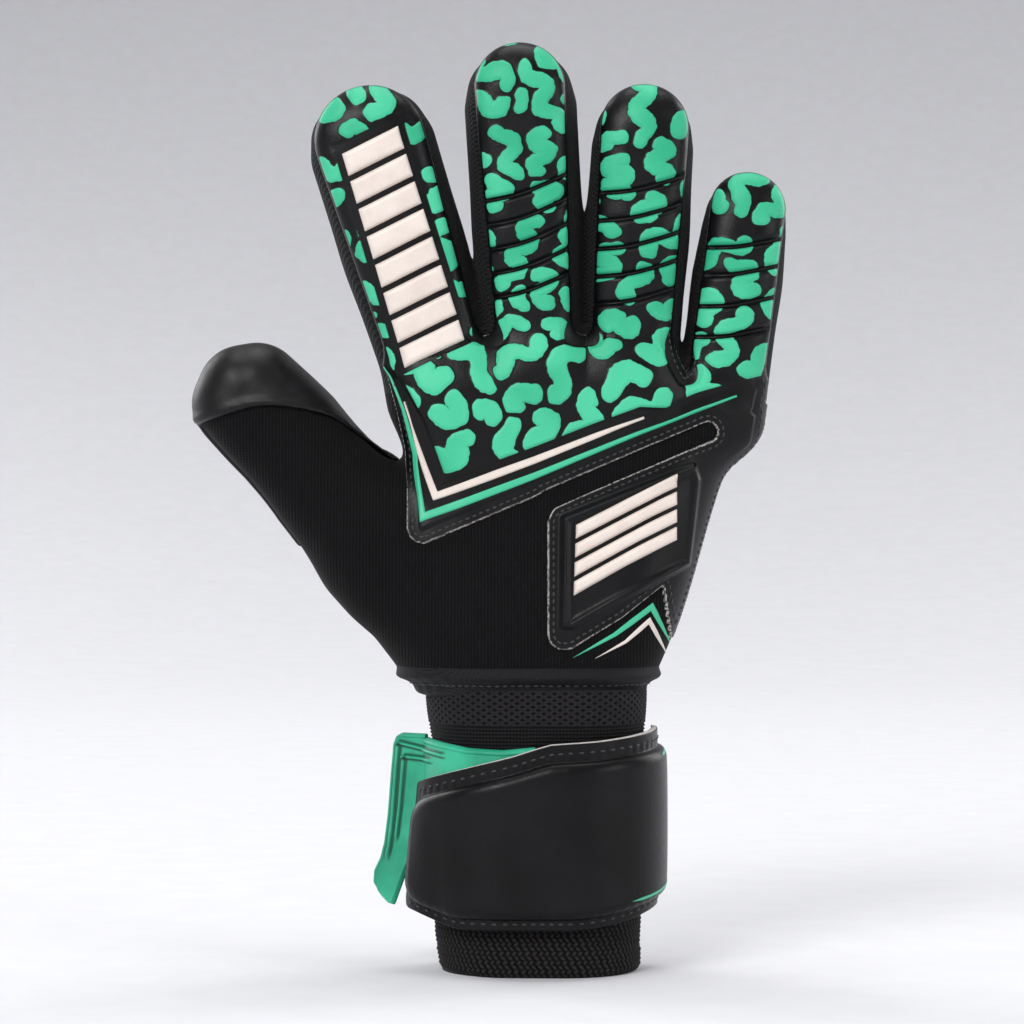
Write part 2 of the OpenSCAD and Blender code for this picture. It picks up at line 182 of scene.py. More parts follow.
def root_field(x, y, z):
    core = [(-46.8, 124.4), (-41.0, 127.0), (-30.0, 120.0), (-15.0, 101.0), (-17.8, 93.8), (-23.4, 99.0),
            (-32.8, 111.2)]
    d = np.maximum(polygon_distance(x, z, core), 0)
    t = step(z, 94, 124)
    return np.sqrt(d * d + (y - 1 - 2 * t) ** 2) - (20.6 - 4.2 * t)


def body(x, y, z):
    """Signed distance to the outside of the knit and mesh."""
    fingers = finger_field(0, x, y, z)
    for i in (1, 2, 3):
        fingers = smin(fingers, finger_field(i, x, y, z), 1.2)
    hand = smin(palm_field(x, y, z), root_field(x, y, z), 9.0)
    hand = smin(hand, thumb_field(x, y, z), 8.0)
    return smin(hand, fingers, 9.0)


class Field:
    """A field on a regular grid, read back as a smooth cubic B-spline."""

    def __init__(self, low, high, cell, values=None):
        self.low, self.cell = np.array(low, float), cell
        self.axes = [np.arange(a, b + cell, cell) for a, b in zip(low, high)]
        self.shape = tuple(len(a) for a in self.axes)
        self.mesh = np.meshgrid(*self.axes, indexing="ij", sparse=True)
        self.values = values

    def like(self, values):
        other = Field.__new__(Field)
        other.__dict__.update(self.__dict__)
        other.values = np.ascontiguousarray(values, np.float32)
        return other

    def read(self, points, gradient=False):
        shape = points.shape[:-1]
        t = (points.reshape(-1, 3) - self.low) / self.cell
        top = np.array(self.shape) - 3
        cell = np.clip(np.floor(t).astype(np.int64), 1, top)
        f = np.clip(t - cell, 0, 1)
        w = np.stack([(1 - f) ** 3, 3 * f ** 3 - 6 * f ** 2 + 4, -3 * f ** 3 + 3 * f ** 2 + 3 * f + 1, f ** 3]) / 6
        strides = np.array([self.shape[1] * self.shape[2], self.shape[2], 1])
        start = ((cell - 1) * strides).sum(1)
        flat = self.values.ravel()
        value = np.zeros(len(t))
        if gradient:
            d = np.stack([-(1 - f) ** 2, 3 * f ** 2 - 4 * f, -3 * f ** 2 + 2 * f + 1, f ** 2]) / 2
            slope = np.zeros((len(t), 3))
        for i in range(4):
            for j in range(4):
                line = np.zeros(len(t))
                along = np.zeros(len(t))
                at = start + i * strides[0] + j * strides[1]
                for k in range(4):
                    g = flat[at + k]
                    line += w[k, :, 2] * g
                    if gradient:
                        along += d[k, :, 2] * g
                value += w[i, :, 0] * w[j, :, 1] * line
                if gradient:
                    slope[:, 0] += d[i, :, 0] * w[j, :, 1] * line
                    slope[:, 1] += w[i, :, 0] * d[j, :, 1] * line
                    slope[:, 2] += w[i, :, 0] * w[j, :, 1] * along
        value = value.reshape(shape)
        return (value, (slope / self.cell).reshape(shape + (3,))) if gradient else value

    def surface(self):
        """Quads of the zero level (naive surface nets), with their corners drawn onto it."""
        v = self.values
        inside = v < 0
        count = sum(inside[a:v.shape[0] - 1 + a, b:v.shape[1] - 1 + b, c:v.shape[2] - 1 + c].astype(np.int8)
                    for a in (0, 1) for b in (0, 1) for c in (0, 1))
        cells = np.argwhere((count > 0) & (count < 8))
        number = np.full(count.shape, -1, np.int64)
        number[tuple(cells.T)] = np.arange(len(cells))
        total, hits = np.zeros((len(cells), 3)), np.zeros(len(cells))
        corners = [np.array(c) for c in np.ndindex(2, 2, 2)]
        for a in corners:
            for axis in range(3):
                if a[axis]:
                    continue
                b = a.copy(); b[axis] = 1
                fa, fb = v[tuple((cells + a).T)], v[tuple((cells + b).T)]
                cross = (fa < 0) != (fb < 0)
                t = np.where(cross, fa / np.where(fa == fb, 1, fa - fb), 0)
                total += np.where(cross[:, None], a + t[:, None] * (b - a), 0)
                hits += cross
        points = self.low + (cells + total / hits[:, None]) * self.cell
        quads = []
        for axis in range(3):
            u, w = (axis + 1) % 3, (axis + 2) % 3
            head = [slice(None)] * 3; head[axis] = slice(0, -1)
            tail = [slice(None)] * 3; tail[axis] = slice(1, None)
            starts, ends = inside[tuple(head)], inside[tuple(tail)]
            at = np.argwhere(starts != ends)
            at = at[(at[:, u] > 0) & (at[:, w] > 0) & (at[:, u] < v.shape[u] - 1) & (at[:, w] < v.shape[w] - 1)]
            ring = []
            for du, dw in ((1, 1), (0, 1), (0, 0), (1, 0)):
                c = at.copy(); c[:, u] -= du; c[:, w] -= dw
                ring.append(number[tuple(c.T)])
            ring = np.stack(ring, 1)
            flip = ends[tuple(at.T)]
            ring[flip] = ring[flip][:, ::-1]
            quads.append(ring)
        quads = np.concatenate(quads)
        quads = quads[(quads >= 0).all(1)]
        for _ in range(3):
            points = relax(points, quads, 0.5)
            value, slope = self.read(points, True)
            points = points - slope * (value / np.maximum((slope ** 2).sum(1), 0.05))[:, None]
        return points, quads


def unit(v):
    return v / np.maximum(np.linalg.norm(v, axis=-1, keepdims=True), 1e-9)


def skin_of_field(field):
    """Points, quads and outward normals of a field's surface."""
    points, quads = field.surface()
    return points, quads, unit(field.read(points, True)[1])


def relax(points, quads, share):
    """Moves each corner towards the middle of its neighbours."""
    total, count = np.zeros_like(points), np.zeros(len(points))
    for k in range(4):
        a, b = quads[:, k], quads[:, (k + 1) % 4]
        for p, q in ((a, b), (b, a)):
            for axis in range(3):
                total[:, axis] += np.bincount(p, points[q, axis], len(points))
            count += np.bincount(p, minlength=len(points))
    near = total / np.maximum(count, 1)[:, None]
    return np.where(count[:, None] > 0, points * (1 - share) + near * share, points)


space = Field((-112, -34, 72), (84, 36, 280), CELL)
X, Y, Z = space.mesh
glove = space.like(smax(body(X, Y, Z), HAND_LOW - 1.4 - Z, 9.0))


def settle(points, direction, rounds=20):
    """Slides points along a direction onto the glove, and gives them back with its outward normals."""
    p = points.copy()
    for _ in range(rounds):
        p += direction * (glove.read(p) * 0.92)[..., None]
    value, n = glove.read(p, True)
    return p, unit(n), np.abs(value)


def onto_back(x, z):
    points = np.stack([x, np.full_like(x, -33.0), z], -1)
    return settle(points, np.array([0, 1.0, 0]))


SEAM = np.array(FLEX_AT) - 16.5        # where a finger's pieces take over from the hand's, along the finger
THUMB_SEAM = THUMB_FLEX_AT - 18.0


def by_finger(near, x, z):
    """Across and along, for each point, the finger named for it."""
    both = np.array([to_local(i, x, z) for i in range(4)])
    return both[near, :, np.arange(len(x))].T


def owner(p):
    """What a point belongs to: 0 to 3 is a finger, 4 the thumb and -1 the hand."""
    x, y, z = p[:, 0], p[:, 1], p[:, 2]
    f = np.stack([finger_field(i, x, y, z) for i in range(4)])
    near = f.argmin(0)
    out = np.where(by_finger(near, x, z)[1] > SEAM[near], near, -1)
    thumb = (thumb_local(x, z)[1] > THUMB_SEAM) & (thumb_field(x, y, z) < np.minimum(f.min(0), palm_field(x, y, z)))
    return np.where(thumb, 4, out)


# ---------------------------------------------------------------- materials
def srgb(r, g, b):
    return tuple((c / 255 / 12.92 if c / 255 <= 0.04045 else ((c / 255 + 0.055) / 1.055) ** 2.4)
                 for c in (r, g, b)) + (1.0,)


def darker(colour, share):
    return tuple(c * share for c in colour[:3]) + (1,)


class Shade:
    """A Principled material whose patterns are read from each mesh's rest position, in millimetres."""

    def __init__(self, name, colour, rough, **sockets):
        self.material = bpy.data.materials.new(name)
        self.material.use_nodes = True
        self.tree = self.material.node_tree
        self.bsdf = self.tree.nodes["Principled BSDF"]
        self.bsdf.inputs["Base Color"].default_value = colour
        self.bsdf.inputs["Roughness"].default_value = rough
        for key, value in sockets.items():
            self.bsdf.inputs[key.replace("_", " ")].default_value = value
        self.rest = self.attribute("rest", "Vector")

    def feed(self, socket, value):
        if isinstance(value, bpy.types.NodeSocket):
            self.tree.links.new(value, socket)
        else:
            socket.default_value = value

    def node(self, kind, **inputs):
        """A node with its inputs fed; i0, i1 and so on name them by number."""
        n = self.tree.nodes.new(kind)
        for key, value in inputs.items():
            self.feed(n.inputs[int(key[1:])] if key[0] == "i" and key[1:].isdigit() else n.inputs[key], value)
        return n

    def attribute(self, name, output="Fac"):
        n = self.tree.nodes.new("ShaderNodeAttribute")
        n.attribute_name = name
        return n.outputs[output]

    def math(self, operation, a, b=0.0, c=0.0):
        n = self.node("ShaderNodeMath", i0=a, i1=b, i2=c)
        n.operation = operation
        return n.outputs[0]

    def add(self, a, b):
        return self.math("ADD", a, b)

    def mul(self, a, b):
        return self.math("MULTIPLY", a, b)

    def madd(self, a, b, c):
        return self.math("MULTIPLY_ADD", a, b, c)

    def axes(self):
        return self.node("ShaderNodeSeparateXYZ", i0=self.rest).outputs

    def noise(self, scale, detail=3.0, rough=0.55, stretch=None):
        where = self.rest
        if stretch:
            n = self.node("ShaderNodeVectorMath", i0=where, i1=stretch)
            n.operation = "MULTIPLY"
            where = n.outputs[0]
        return self.node("ShaderNodeTexNoise", Vector=where, Scale=scale, Detail=detail, Roughness=rough).outputs[0]

    def cells(self, scale, feature="F1"):
        n = self.node("ShaderNodeTexVoronoi", Vector=self.rest, Scale=scale)
        n.feature = feature
        return n.outputs["Distance"]

    def between(self, value, low, high, out_low=0.0, out_high=1.0):
        n = self.node("ShaderNodeMapRange", i0=value, i1=low, i2=high, i3=out_low, i4=out_high)
        n.interpolation_type = "SMOOTHSTEP"
        return n.outputs[0]

    def mix(self, share, a, b):
        n = self.tree.nodes.new("ShaderNodeMix")
        n.data_type = "RGBA"
        for number, value in ((0, share), (6, a), (7, b)):
            self.feed(n.inputs[number], value)
        return n.outputs[2]

    def blotch(self, scale, detail, low, high, a, b):
        """Two colours in soft patches."""
        return self.mix(self.between(self.noise(scale, detail), low, high), a, b)

    def grain(self, scale, spread, rough):
        """Roughness that changes over the surface."""
        return self.madd(self.noise(scale, 4), spread, rough)

    def set(self, socket, value):
        self.tree.links.new(value, self.bsdf.inputs[socket])

    def bump(self, height, distance, strength=1.0):
        """Raises the surface by height, given in millimetres times distance."""
        n = self.node("ShaderNodeBump", Strength=strength, Distance=distance * MM, Height=height)
        self.set("Normal", n.outputs["Normal"])


def wave(s, value, period):
    """A sine of a value with a period in millimetres, from 0 to 1."""
    turn = s.mul(value, 2 * math.pi / period)
    return s.madd(s.math("SINE", turn), 0.5, 0.5)


MINT = srgb(56, 180, 138)
OFF_WHITE = srgb(222, 210, 201)
BLACK = srgb(12, 12, 13)


def leather(s, amount=0.05):
    """The fine grain of coated leather, with faint broad dents."""
    grain = s.madd(s.cells(1.5), 0.6, s.mul(s.noise(3.2, 4), 0.7))
    height = s.add(grain, s.mul(s.noise(0.09, 2), 3.0))
    s.bump(height, amount)


def panel_material():
    s = Shade("panel_skin", BLACK, 0.36, Specular_IOR_Level=0.2)
    ink = s.between(s.attribute("ink"), -0.045, 0.045)
    cut = s.between(s.attribute("cut"), 0.35, 0.65)
    black = s.blotch(0.05, 3, 0.3, 0.7, srgb(6, 6, 7), srgb(14, 14, 16))
    green = s.blotch(0.035, 2, 0.3, 0.7, srgb(46, 165, 124), srgb(76, 195, 152))
    green = s.blotch(2.4, 3, 0.5, 1.2, green, srgb(38, 148, 111))
    colour = s.mix(ink, black, green)
    fuzz = s.mul(cut, s.between(s.noise(1.2, 3), 0.36, 0.6, 0.05, 1.0))
    s.set("Base Color", s.mix(fuzz, colour, srgb(178, 172, 168)))
    s.set("Roughness", s.add(s.madd(ink, 0.09, s.grain(0.7, 0.16, 0.27)), s.mul(cut, 0.4)))
    leather(s, 0.05)
    return s.material


def print_material(name, colour, shade, rough=0.42):
    s = Shade(name, colour, rough)
    s.set("Base Color", s.blotch(0.16, 4, 0.35, 0.75, colour, shade))
    s.set("Roughness", s.grain(1.1, 0.2, rough - 0.1))
    leather(s, 0.035)
    return s.material


def rib_material():
    s = Shade("neoprene", BLACK, 0.85, Specular_IOR_Level=0.12, Sheen_Weight=0.03, Sheen_Roughness=0.5)
    x, _, z = s.axes()
    facing = s.between(s.attribute("facing"), 0.25, 0.75)
    rib = s.madd(s.math("SUBTRACT", wave(s, x, 0.95), 0.5), facing, 0.5)
    loop = wave(s, s.add(z, s.mul(rib, 0.35)), 0.8)
    height = s.add(s.madd(loop, 0.35, rib), s.mul(s.noise(2.6, 3), 0.5))
    # Colour: darker in the troughs between the ribs as painted shade, with random tone from the noise.
    rib_shade_and_tone = s.mul(s.between(rib, 0.1, 0.9), s.between(s.noise(0.5, 3), 0.2, 0.8, 0.55, 1.0))
    s.set("Base Color", s.mix(rib_shade_and_tone, srgb(4, 4, 5), srgb(16, 15, 17)))
    s.bump(height, 0.13)
    return s.material


def twill_material(name, dark, light, period, depth, rough=0.8):
    s = Shade(name, light, rough, Specular_IOR_Level=0.15, Sheen_Weight=0.03, Sheen_Roughness=0.5)
    x, y, z = s.axes()
    across = s.add(s.mul(x, 0.8), y)
    one = wave(s, s.add(across, z), period)
    two = wave(s, s.math("SUBTRACT", across, z), period)
    weave = s.math("MAXIMUM", one, s.mul(two, 0.85))
    height = s.madd(s.noise(2.8, 3), 0.4, weave)
    # Colour follows the weave's height: darker in its low parts as painted shade, lighter on the raised threads.
    s.set("Base Color", s.mix(s.between(weave, 0.15, 0.95), dark, light))
    s.bump(height, depth)
    return s.material


def latex_material(name, colour, light, rough, pebble, depth):
    s = Shade(name, colour, rough, Specular_IOR_Level=0.25)
    fleck = s.between(s.noise(0.12, 5, 0.6), 0.42, 0.75)
    s.set("Base Color", s.mix(fleck, colour, light))
    s.set("Roughness", s.grain(0.3, 0.24, rough - 0.12))
    pores = s.mul(s.cells(pebble), 0.8)
    height = s.add(s.madd(s.noise(pebble * 1.6, 3), 0.7, pores), s.mul(s.noise(0.1, 3), 3.5))
    s.bump(height, depth)
    return s.material


def knit_material(name, dark, light):
    """Knit whose loops are real geometry; the shader adds the yarn's fibres and paints shade into the hollows
    between them.
    """
    s = Shade(name, light, 0.82, Specular_IOR_Level=0.15, Sheen_Weight=0.04, Sheen_Roughness=0.45)
    # Colour follows the loop height: the dark colour in the hollows is painted shade, the light one is the loop
    # tops.
    s.set("Base Color", s.mix(s.between(s.attribute("loop"), 0.1, 0.85), dark, light))
    s.bump(s.madd(s.noise(5.0, 2), 0.8, s.noise(2.2, 3, stretch=(1, 1, 2.2))), 0.12)
    return s.material


def strap_material():
    s = Shade("strap_skin", BLACK, 0.4, Specular_IOR_Level=0.17)
    cut = s.between(s.attribute("cut"), 0.35, 0.65)
    black = s.blotch(0.04, 3, 0.3, 0.7, srgb(7, 7, 8), srgb(15, 15, 17))
    scuff = s.between(s.noise(0.9, 5, 0.6, (1, 1, 0.25)), 0.66, 0.8)
    black = s.mix(s.mul(scuff, 0.3), black, srgb(54, 53, 56))
    s.set("Base Color", s.mix(s.mul(cut, s.between(s.noise(1.5, 2), 0.25, 0.5, 0.45, 1.0)),
                              black, srgb(206, 200, 196)))
    s.set("Roughness", s.add(s.grain(0.5, 0.2, 0.22), s.mul(cut, 0.4)))
    leather(s, 0.04)
    return s.material


def rubber_material():
    s = Shade("tab_rubber", srgb(34, 172, 132), 0.5, Subsurface_Weight=0.06, Subsurface_Radius=(0.4, 1.0, 0.7),
              Subsurface_Scale=0.001)
    green = s.blotch(0.06, 3, 0.3, 0.7, srgb(22, 146, 111), srgb(44, 176, 137))
    # The ridge flanks are painted a darker green: painted shade where they catch the least light.
    s.set("Base Color", s.mix(s.attribute("hollow"), green, srgb(8, 84, 62)))
    s.set("Roughness", s.grain(1.2, 0.2, 0.38))
    s.bump(s.madd(s.noise(4.0, 3), 0.5, s.noise(0.25, 2)), 0.05)
    return s.material


def yarn_material(name, colour, rough=0.6):
    s = Shade(name, colour, rough, Sheen_Weight=0.2)
    s.set("Base Color", s.blotch(2.0, 2, 0.3, 0.7, colour, darker(colour, 0.45)))
    x, y, z = s.axes()
    s.bump(wave(s, s.add(s.add(x, y), z), 0.34), 0.06)
    return s.material


def fastener_material(name, colour, scale, depth):
    s = Shade(name, colour, 0.75, Sheen_Weight=0.3)
    dots = s.cells(scale)
    s.set("Base Color", s.mix(s.between(dots, 0.1, 0.6), colour, darker(colour, 0.4)))
    s.bump(s.madd(s.noise(3.0, 3), 0.6, dots), depth)
    return s.material


PANEL = panel_material()
WHITE = print_material("print_white", OFF_WHITE, srgb(214, 200, 190))
GREEN = print_material("print_green", MINT, srgb(58, 184, 140))
RIB = rib_material()
# Each twill's dark colour is painted shade in the weave's low parts, its light colour the raised threads.
TWILL = twill_material("mesh", srgb(4, 4, 5), srgb(26, 26, 28), 1.35, 0.3)
WELT = twill_material("welt_fabric", srgb(5, 5, 6), srgb(30, 30, 33), 0.75, 0.12, 0.7)
LINING = twill_material("lining_fabric", srgb(44, 46, 50), srgb(92, 95, 101), 1.1, 0.12)
PALM = latex_material("palm_latex", srgb(17, 17, 18), srgb(27, 27, 29), 0.78, 1.1, 0.10)
THUMB = latex_material("thumb_latex", srgb(10, 10, 11), srgb(18, 18, 20), 0.42, 2.2, 0.03)
# Each knit's first colour is the painted shade of its hollows, the second the colour of its loop tops.
KNIT = knit_material("cuff_knit", srgb(3, 3, 4), srgb(44, 41, 42))
BAND = knit_material("band_knit", srgb(3, 3, 4), srgb(34, 32, 34))
STRAP = strap_material()
RUBBER = rubber_material()
THREAD = yarn_material("seam_thread", srgb(46, 45, 48))
HOOK = fastener_material("hook", srgb(20, 20, 22), 1.1, 0.5)
LOOP = fastener_material("loop", srgb(34, 34, 37), 2.0, 0.35)


# ---------------------------------------------------------------- pieces
def make(name, points, quads, material, slot, normals=None, **floats):
    """An object from points in millimetres and quads; only the corners in use are kept."""
    used, quads = np.unique(quads, return_inverse=True)
    quads = quads.reshape(-1, 4)
    points = np.asarray(points, float).reshape(-1, 3)[used]
    mesh = bpy.data.meshes.new(name)
    mesh.vertices.add(len(points))
    mesh.vertices.foreach_set("co", (points * MM).astype(np.float32).ravel())
    mesh.loops.add(quads.size)
    mesh.loops.foreach_set("vertex_index", quads.astype(np.int32).ravel())
    mesh.polygons.add(len(quads))
    mesh.polygons.foreach_set("loop_start", np.arange(0, quads.size, 4, dtype=np.int32))
    mesh.update(calc_edges=True)
    mesh.shade_smooth()
    rest = mesh.attributes.new("rest", "FLOAT_VECTOR", "POINT")
    rest.data.foreach_set("vector", points.astype(np.float32).ravel())
    for key, value in floats.items():
        values = np.asarray(value, np.float32).ravel()[used]
        mesh.attributes.new(key, "FLOAT", "POINT").data.foreach_set("value", values)
    if normals is not None:
        mesh.normals_split_custom_set_from_vertices(np.asarray(normals).reshape(-1, 3)[used].astype(np.float32))
    mesh.materials.append(material)
    piece = bpy.data.objects.new(name, mesh)
    bpy.context.scene.collection.objects.link(piece)
    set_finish(piece, slot)
    return piece


def grid_quads(m, n, start=0):
    i = (np.arange(m - 1)[:, None] * n + np.arange(n - 1)).ravel() + start
    return np.stack([i, i + n, i + n + 1, i + 1], 1)


def edge_rows(n, pull=0.11):
    """Rows from 0 to 1, closer together near both ends."""
    t = np.linspace(0, 1, n)
    return t - pull * np.sin(2 * math.pi * t)


def slab(name, outer, inner, material, slot, closed=False, **floats):
    """A closed plate between two grids of points; a closed one runs right round and meets itself."""
    m, n = outer.shape[:2]
    if closed:
        outer, inner = (np.concatenate([g, g[:1]]) for g in (outer, inner))
        floats = {k: np.concatenate([v, v[:1]]) for k, v in floats.items()}
        m += 1
    top = grid_quads(m, n)
    bottom = grid_quads(m, n, m * n)[:, ::-1]
    k = m * n
    a = np.arange(n - 1)
    b = np.arange(m - 1) * n
    rims = [np.stack([b + n, b, b + k, b + n + k], 1),
            np.stack([b + n - 1, b + 2 * n - 1, b + 2 * n - 1 + k, b + n - 1 + k], 1)]
    if not closed:
        rims += [np.stack([a, a + 1, a + 1 + k, a + k], 1),
                 np.stack([a + 1 + (m - 1) * n, a + (m - 1) * n, a + (m - 1) * n + k, a + 1 + (m - 1) * n + k], 1)]
    points = np.concatenate([outer.reshape(-1, 3), inner.reshape(-1, 3)])
    floats = {key: np.concatenate([value.ravel(), value.ravel()]) for key, value in floats.items()}
    return make(name, points, np.concatenate([top, bottom] + rims), material, slot, **floats)


def place(piece, who, *nodes):
    """Bakes the transform of a piece on a finger, the thumb or the strap's flap, attaches any other piece to its
    body, and hides the CAD nodes it stands for.
    """
    if who in FINGERS:
        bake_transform(piece)
    elif who == "thumb":
        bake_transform(piece)
    elif who == "flap":                    # the strap's flap; its transform is only baked
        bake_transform(piece)
    else:
        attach(piece, who)
    if nodes:
        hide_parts(*nodes)
    return piece


# ---------------------------------------------------------------- knit, mesh and lining
V, Q, N = skin_of_field(glove)
middle = V[Q].mean(1)
belongs = owner(middle)
open_end = (middle[:, 2] < HAND_LOW + 1.2) & (N[Q].mean(1)[:, 2] < -0.6)
finger_near = np.stack([finger_field(i, *middle.T) for i in range(4)]).argmin(0)
across, along = by_finger(finger_near, middle[:, 0], middle[:, 2])
web = (belongs == -1) & (along > -7) & (thumb_field(*middle.T) > 3)
gap_of = finger_near + (across > 0)                   # 0 is the index finger's outer side, 4 the little finger's

hand_faces = (belongs == -1) & ~open_end
facing = np.abs(N[:, 1])
place(make("backhand_neoprene", V, Q[hand_faces & ~web], RIB, "neoprene", N, facing=facing), "hand",
      "backhand_neoprene", "palm_foam", "knuckle_padding")
for k, node in enumerate(("side_gusset_index", "web_index_middle", "web_middle_ring", "web_ring_little",
                          "side_gusset_little")):
    faces = hand_faces & web & (gap_of == k)
    if faces.any():
        place(make(node, V, Q[faces], TWILL, "mesh", N), "hand", node)
for i, name in enumerate(FINGERS):
    place(make(name + "_gusset", V, Q[belongs == i], TWILL, "mesh", N), name, name + "_gusset", name + "_flex")
place(make("thumb_back", V, Q[belongs == 4], RIB, "neoprene", N, facing=facing), "thumb",
      "thumb_back", "thumb_flex")
inner = V - N * LINING_IN
place(make("hand_lining", inner, Q[hand_faces][:, ::-1], LINING, "lining_fabric", -N), "hand", "hand_lining")
for i, name in enumerate(FINGERS):
    place(make(name + "_lining", inner, Q[belongs == i][:, ::-1], LINING, "lining_fabric", -N), name,
          name + "_lining", name + "_palm_foam")
place(make("thumb_lining", inner, Q[belongs == 4][:, ::-1], LINING, "lining_fabric", -N), "thumb", "thumb_lining")


# ---------------------------------------------------------------- palm latex and thumb wrap
def strip_inside(i, x, z, w0, w1, end, low=-26.0):
    """How far a point is inside a round-ended strip along finger i, seen from behind."""
    u, v = to_local(i, x, z)
    w = w0 + (w1 - w0) * np.clip(v / (LENGTH[i] - 20), 0, 1)
    inside = np.where(v > end - w1, w1 - np.hypot(u, v - end + w1), w - np.abs(u))
    return np.minimum(inside, v - low)


def capsule(x, z, a, b, r):
    """Signed distance to a thick line."""
    ex, ez = b[0] - a[0], b[1] - a[1]
    t = np.clip(((x - a[0]) * ex + (z - a[1]) * ez) / (ex * ex + ez * ez), 0, 1)
    return np.hypot(x - a[0] - ex * t, z - a[1] - ez * t) - r


THUMB_ARC = [(-45.0, 152.0), (-33.0, 146.0), (-22.0, 135.0), (-15.0, 120.0), (-13.5, 104.0), (-17.0, 90.0)]
PALM_LINES = (THUMB_ARC, [(-20.0, 163.0), (0.0, 158.0), (24.0, 159.0), (48.0, 150.0)],
              [(40.0, 138.0), (34.0, 118.0), (27.0, 100.0), (23.0, 90.0)])
tu, tv = thumb_local(X, Z)
near_thumb = step(tv + 0 * Y, 0, 20) * step(palm_field(X, Y, Z) - thumb_field(X, Y, Z), 0, 5)
stand_off = (LATEX - 2.5 * near_thumb) * (0.15 + 0.85 * step(Y, 5, 17))
hand_only = smin(smin(palm_field(X, Y, Z), root_field(X, Y, Z), 9.0), thumb_field(X, Y, Z), 8.0)
layer = smax(hand_only - stand_off, SIDE_SPLIT + 1.2 * near_thumb - Y, 3.0)
for i in range(4):
    across_all = strip_inside(i, X, Z, W0[i] - 1.0, W1[i] - 1.2, LENGTH[i] - 1.6, -16.0)
    pad = smax(finger_field(i, X, Y, Z) - 0.6 - (LATEX - 0.6) * step(Y, 1, 9), -across_all, 2.4)
    layer = smin(layer, smax(pad, BASE[i, 1] + 2.4 - Y, 2.6), 2.0)
lines = 9.0 + 0 * (X + Z)
for path in PALM_LINES:
    for a, b in zip(path, path[1:]):
        lines = np.minimum(lines, capsule(X, Z, a, b, 0))
for i in range(4):
    lu, lv = to_local(i, X, Z)
    for at in (6.0, FLEX_AT[i] + 6.0):
        lines = np.minimum(lines, np.hypot(np.maximum(np.abs(lu) - W0[i] + 4.5, 0), lv - at - 0.02 * lu * lu))
channel = 1.25 * bell(lines, 1.15) * step(Y, 6, 10)
latex = space.like(smax(layer + channel, HAND_LOW + 3.5 - Z, 2.0))
LV, LQ, LN = skin_of_field(latex)
L_of = owner(LV[LQ].mean(1))
palm = place(make("palm_latex", LV, LQ[L_of == -1], PALM, "palm_latex", LN), "hand", "palm_latex")
for i, name in enumerate(FINGERS):
    place(make(name + "_palm_latex", LV, LQ[L_of == i], PALM, "palm_latex", LN), name, name + "_palm_latex")

edge = 54.9 - 0.45 * tu - 0.031 * np.maximum(tu + 2, 0) ** 2 - 2.2 * np.maximum(tu - 16, 0)
roll = 0.8 * bell(tv - edge - 1.7, 1.3) * step(Y, 10, 4)
wrap = space.like(smax(smax(glove.values - 1.35 - roll, smin(edge - tv + 0 * Y, 6.2 - Y, 2.0), 0.9),
                       THUMB_SEAM - 1.0 - tv + 0 * Y, 0.8))
wrap = space.like(smax(wrap.values, thumb_field(X, Y, Z) - 3.4, 2.0))
WV, WQ, WN = skin_of_field(wrap)
place(make("thumb_latex_wrap", WV, WQ, THUMB, "thumb_latex", WN), "thumb", "thumb_latex_wrap")


# ---------------------------------------------------------------- embossed skin on the back
KNUCKLE = [(-43.5, 176.5), (-40.0, 163.0), (-38.0, 152.0), (-38.0, 129.0), (-37.2, 126.6), (-35.4, 125.0),
           (-33.0, 124.4), (14.6, 144.6), (40.5, 156.0), (58.0, 156.0), (64.0, 163.0), (66.0, 172.0), (42.0, 173.0),
           (36.0, 182.0), (13.0, 184.0), (-15.0, 184.0), (-40.0, 184.0)]
LOWER = [(2.6, 98.0), (2.6, 131.0), (4.4, 135.0), (24.8, 145.4), (46.0, 154.5), (52.0, 165.0), (66.0, 165.0),
         (64.0, 150.0), (60.0, 138.0), (50.0, 98.0), (38.0, 97.0), (35.5, 112.5), (24.0, 103.3), (9.6, 94.4),
         (6.0, 94.2), (3.6, 95.6)]
PLATEAU = [(7.2, 131.9), (6.8, 100.6), (9.6, 100.4), (42.3, 118.9), (45.5, 143.0), (44.5, 147.0)]
WHITE_LINE = [(-38.2, 165.8), (-34.8, 156.0), (-31.6, 146.0), (-29.0, 138.2), (-1.0, 148.6), (30.3, 161.1)]
GREEN_LINE = [(-43.4, 176.2), (-38.4, 163.5), (-34.9, 151.0), (-33.1, 131.9), (-1.0, 144.0), (30.3, 157.0),
              (57.3, 167.3)]
INK_AREA = [(-26.2, 142.6), (-28.6, 150.0), (-32.0, 160.0), (-38.5, 172.0), (-80.0, 200.0), (-80.0, 300.0),
            (110.0, 300.0), (110.0, 188.0), (57.0, 171.0), (36.0, 163.6), (29.0, 163.9), (-0.2, 152.3)]


def patch_top(x):
    """Height at which the emblem's patch gives way to the knuckle panel."""
    return 137.4 + 0.43 * (x - 3)


def outline(x, z):
    """How far a point of the back is inside the embossed skin."""
    d = smax(-polygon_distance(x, z, KNUCKLE), -polygon_distance(x, z, LOWER), 1.0)
    for i in range(4):
        d = smax(d, strip_inside(i, x, z, PANEL_W0[i], PANEL_W1[i], LENGTH[i] - 1.4), 5.0)
    return smin(d, capsule(x, z, (3.0, 137.2), (49.0, 157.0), 2.7), 1.0)


GX, GZ = np.meshgrid(np.arange(-64, 78, FINE), np.arange(90, 274, FINE), indexing="ij")
D = outline(GX, GZ)
seen = D > -1.4
P, NRM, miss = np.zeros(GX.shape + (3,)), np.zeros(GX.shape + (3,)), np.full(GX.shape, 9.0)
P[seen], NRM[seen], miss[seen] = onto_back(GX[seen], GZ[seen])
D = smin(D, (-NRM[..., 1] - 0.2) * 11, 1.0)

